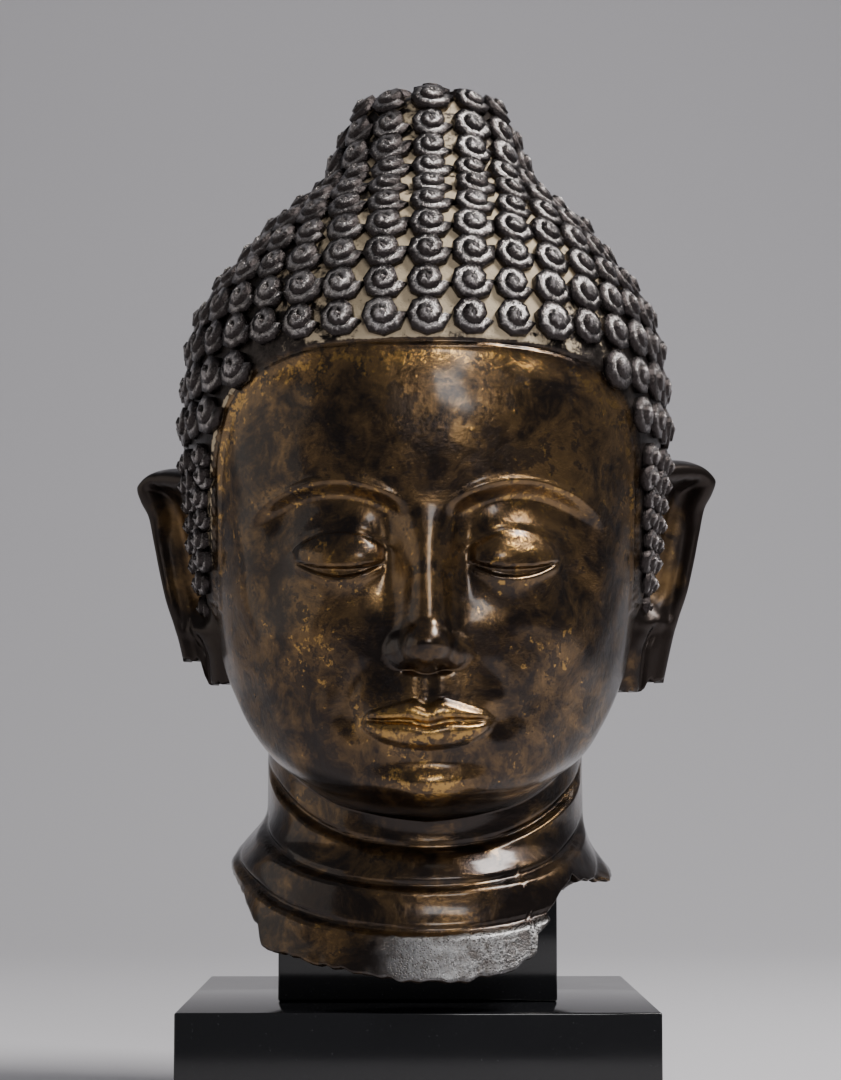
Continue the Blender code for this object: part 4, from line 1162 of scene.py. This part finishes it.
def ear_patina(colours):
    """The same patina on the ears, with more of the gilding left inside them."""
    f = Finish("ear bronze")
    gilt = f.attribute("gilt")
    clouds = f.noise(0.03, detail=5)
    flecks = f.noise(0.004, detail=5, roughness=0.68)
    blotches = f.noise(0.013, detail=6, roughness=0.62, distortion=0.6)
    warm = (0.6 * clouds + 0.6 * blotches + 0.4 * gilt - 0.78).band(-0.05, 0.2)
    colour = f.mix(warm, colours.dark, colours.brown)
    gold = (flecks * 1.0 + blotches * 0.8 + 0.35 * gilt - 1.25).band(0.0, 0.14)
    olive = f.mix(0.5, EAR_OLIVE, colours.gilt)
    colour = f.mix(gold * 0.6, colour, olive)
    normal = f.bump(0.5 * blotches + 0.35 * flecks, 0.0005)
    rough = 0.22 + 0.2 * blotches
    return f.set(
        Base_Color=colour,
        Roughness=rough.held(),
        Metallic=(0.85 + 0.15 * gold).held(),
        Normal=normal,
        Coat_Weight=0.3,
        Coat_Roughness=0.28,
    )


def black_polish(colours):
    """Polished black acrylic with faint wipe marks and dust."""
    f = Finish("black acrylic")
    smears = f.noise(0.05, detail=4, stretch=(1, 1, 3))
    dust = f.noise(0.0012, detail=3, roughness=0.7)
    speck = (dust * 1.4 - 0.92).band(0.0, 0.08)
    colour = f.mix(0.35 * speck, colours.black, DUST)
    rough = 0.07 + 0.09 * smears + 0.25 * speck
    return f.set(Base_Color=colour, Roughness=rough.held(), Normal=f.bump(smears, 0.00002))


def studio_light(name, place, target, size, power, colour=(1, 1, 1)):
    """A square soft light turned to a target."""
    light = bpy.data.lights.new(name, "AREA")
    light.energy = power
    light.size = size
    light.color = colour
    made = bpy.data.objects.new(name, light)
    bpy.context.scene.collection.objects.link(made)
    made.location = place
    made.rotation_euler = (Vector(target) - Vector(place)).to_track_quat("-Z", "Y").to_euler()


def sweep(colour):
    """A pale floor that curves up into a wall behind."""
    reach, back, rise, round_by, steps = 6.0, 2.2, 5.0, 1.2, 16
    line = [(-6.0, 0.0), (back - round_by, 0.0)]
    for i in range(1, steps + 1):
        turn = math.pi / 2 * i / steps
        line.append((back - round_by + round_by * math.sin(turn), round_by * (1 - math.cos(turn))))
    line.append((back, rise))
    points = [(x, y, z) for y, z in line for x in (-reach, reach)]
    faces = [(2 * i, 2 * i + 1, 2 * i + 3, 2 * i + 2) for i in range(len(line) - 1)]
    floor = mesh_piece("backdrop", points, faces)
    f = Finish("studio paper")
    fibres = f.noise(0.004, detail=3)
    shade = f.mix(0.06 * fibres, colour, (0.5, 0.5, 0.52))
    floor.data.materials.append(f.set(Base_Color=shade, Roughness=0.9))
    return floor


class BuddhaOperator:
    """What the operators share: the settings, and fastening a piece to the frame."""

    bl_options = {"REGISTER", "UNDO"}

    def finish_piece(self, piece, material, slot, *nodes):
        if piece.type != "MESH" or not piece.data.polygons:
            raise RuntimeError(f"{piece.name} has no faces")
        if material:
            piece.data.materials.clear()
            piece.data.materials.append(material)
        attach(piece, "root")
        if nodes:
            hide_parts(*nodes)


class BUDDHA_OT_cast_head(BuddhaOperator, Operator):
    """Cast the head with its face, its broken neck and its hollow"""

    bl_idname = "buddha.cast_head"
    bl_label = "Cast Head"

    def execute(self, context):
        scene = context.scene
        self.finish_piece(cast_skin(scene.buddha_form), patina(scene.buddha_finish), "bronze", "head")
        return {"FINISHED"}


class BUDDHA_OT_wind_curls(BuddhaOperator, Operator):
    """Wind the snail-shell curls over the hair"""

    bl_idname = "buddha.wind_curls"
    bl_label = "Wind Curls"

    def execute(self, context):
        scene = context.scene
        material = curl_patina(scene.buddha_finish)
        self.finish_piece(lay_curls(scene.buddha_form, material), None, "bronze")
        return {"FINISHED"}


class BUDDHA_OT_cast_ears(BuddhaOperator, Operator):
    """Cast both long ears with their broken lobes"""

    bl_idname = "buddha.cast_ears"
    bl_label = "Cast Ears"

    def execute(self, context):
        material = ear_patina(context.scene.buddha_finish)
        for side in (0, 1):
            self.finish_piece(cast_ear(side), material, "bronze")
        return {"FINISHED"}


class BUDDHA_OT_polish_stand(BuddhaOperator, Operator):
    """Make the post and the slab of polished black acrylic"""

    bl_idname = "buddha.polish_stand"
    bl_label = "Polish Stand"

    def execute(self, context):
        scene = context.scene
        material = black_polish(scene.buddha_finish)
        edge = scene.buddha_form.edge
        self.finish_piece(rounded_block("stand_post", POST_LOW, POST_HIGH, edge), material, "stand", "post")
        self.finish_piece(rounded_block("stand_slab", SLAB_LOW, SLAB_HIGH, edge), material, "stand", "slab")
        return {"FINISHED"}


class BUDDHA_OT_set_stage(Operator):
    """Set the backdrop, the lights and the camera"""

    bl_idname = "buddha.set_stage"
    bl_label = "Set Stage"
    bl_options = {"REGISTER", "UNDO"}

    def execute(self, context):
        scene = context.scene
        studio = scene.buddha_studio
        sweep(studio.backdrop)
        aim = (0, 0, 0.24)
        studio_light("key", (0.85, -0.35, 1.55), aim, 0.55, studio.key, (1, 0.98, 0.95))
        studio_light("fill", (-1.6, -0.2, 0.3), aim, 1.5, studio.fill, (1, 0.94, 0.86))
        studio_light("front", (0.35, -1.7, 1.0), aim, 0.5, studio.front)
        world = bpy.data.worlds.new("studio")
        world.use_nodes = True
        surround = world.node_tree.nodes["Background"].inputs
        surround["Color"].default_value = (0.82, 0.83, 0.88, 1)
        surround["Strength"].default_value = studio.surround
        scene.world = world
        lens = bpy.data.cameras.new("photo_view")
        lens.sensor_width = 36.0
        lens.lens = lens.sensor_width * FOCAL_PIXELS / max(PICTURE)
        camera = bpy.data.objects.new("photo_view", lens)
        scene.collection.objects.link(camera)
        camera.location = CAMERA_PLACE
        camera.rotation_euler = (math.pi / 2 + CAMERA_TILT, 0, CAMERA_YAW)
        scene.camera = camera
        return {"FINISHED"}


class BUDDHA_PT_panel(Panel):
    """The steps of the work and their settings"""

    bl_idname = "BUDDHA_PT_panel"
    bl_label = "Buddha Head"
    bl_space_type = "VIEW_3D"
    bl_region_type = "UI"
    bl_category = "Buddha Head"

    def draw(self, context):
        for operator in STEPS:
            self.layout.operator(operator.bl_idname)
        for group in ("buddha_form", "buddha_finish", "buddha_studio"):
            settings = getattr(context.scene, group)
            box = self.layout.box()
            for name in settings.__annotations__:
                box.prop(settings, name)


STEPS = (
    BUDDHA_OT_cast_head,
    BUDDHA_OT_wind_curls,
    BUDDHA_OT_cast_ears,
    BUDDHA_OT_polish_stand,
    BUDDHA_OT_set_stage,
)
CLASSES = (BuddhaFormSettings, BuddhaFinishSettings, BuddhaStudioSettings, *STEPS, BUDDHA_PT_panel)


def register():
    """Makes the settings, the operators and the panel known to Blender."""
    for kind in CLASSES:
        bpy.utils.register_class(kind)
    bpy.types.Scene.buddha_form = PointerProperty(type=BuddhaFormSettings)
    bpy.types.Scene.buddha_finish = PointerProperty(type=BuddhaFinishSettings)
    bpy.types.Scene.buddha_studio = PointerProperty(type=BuddhaStudioSettings)


def unregister():
    """Takes them out again."""
    del bpy.types.Scene.buddha_studio
    del bpy.types.Scene.buddha_finish
    del bpy.types.Scene.buddha_form
    for kind in reversed(CLASSES):
        bpy.utils.unregister_class(kind)


def main():
    """Makes the whole work, one step after another."""
    register()
    bpy.ops.buddha.cast_head()
    bpy.ops.buddha.wind_curls()
    bpy.ops.buddha.cast_ears()
    bpy.ops.buddha.polish_stand()
    bpy.ops.buddha.set_stage()
    bpy.context.view_layer.update()


if __name__ == "__main__":
    main()
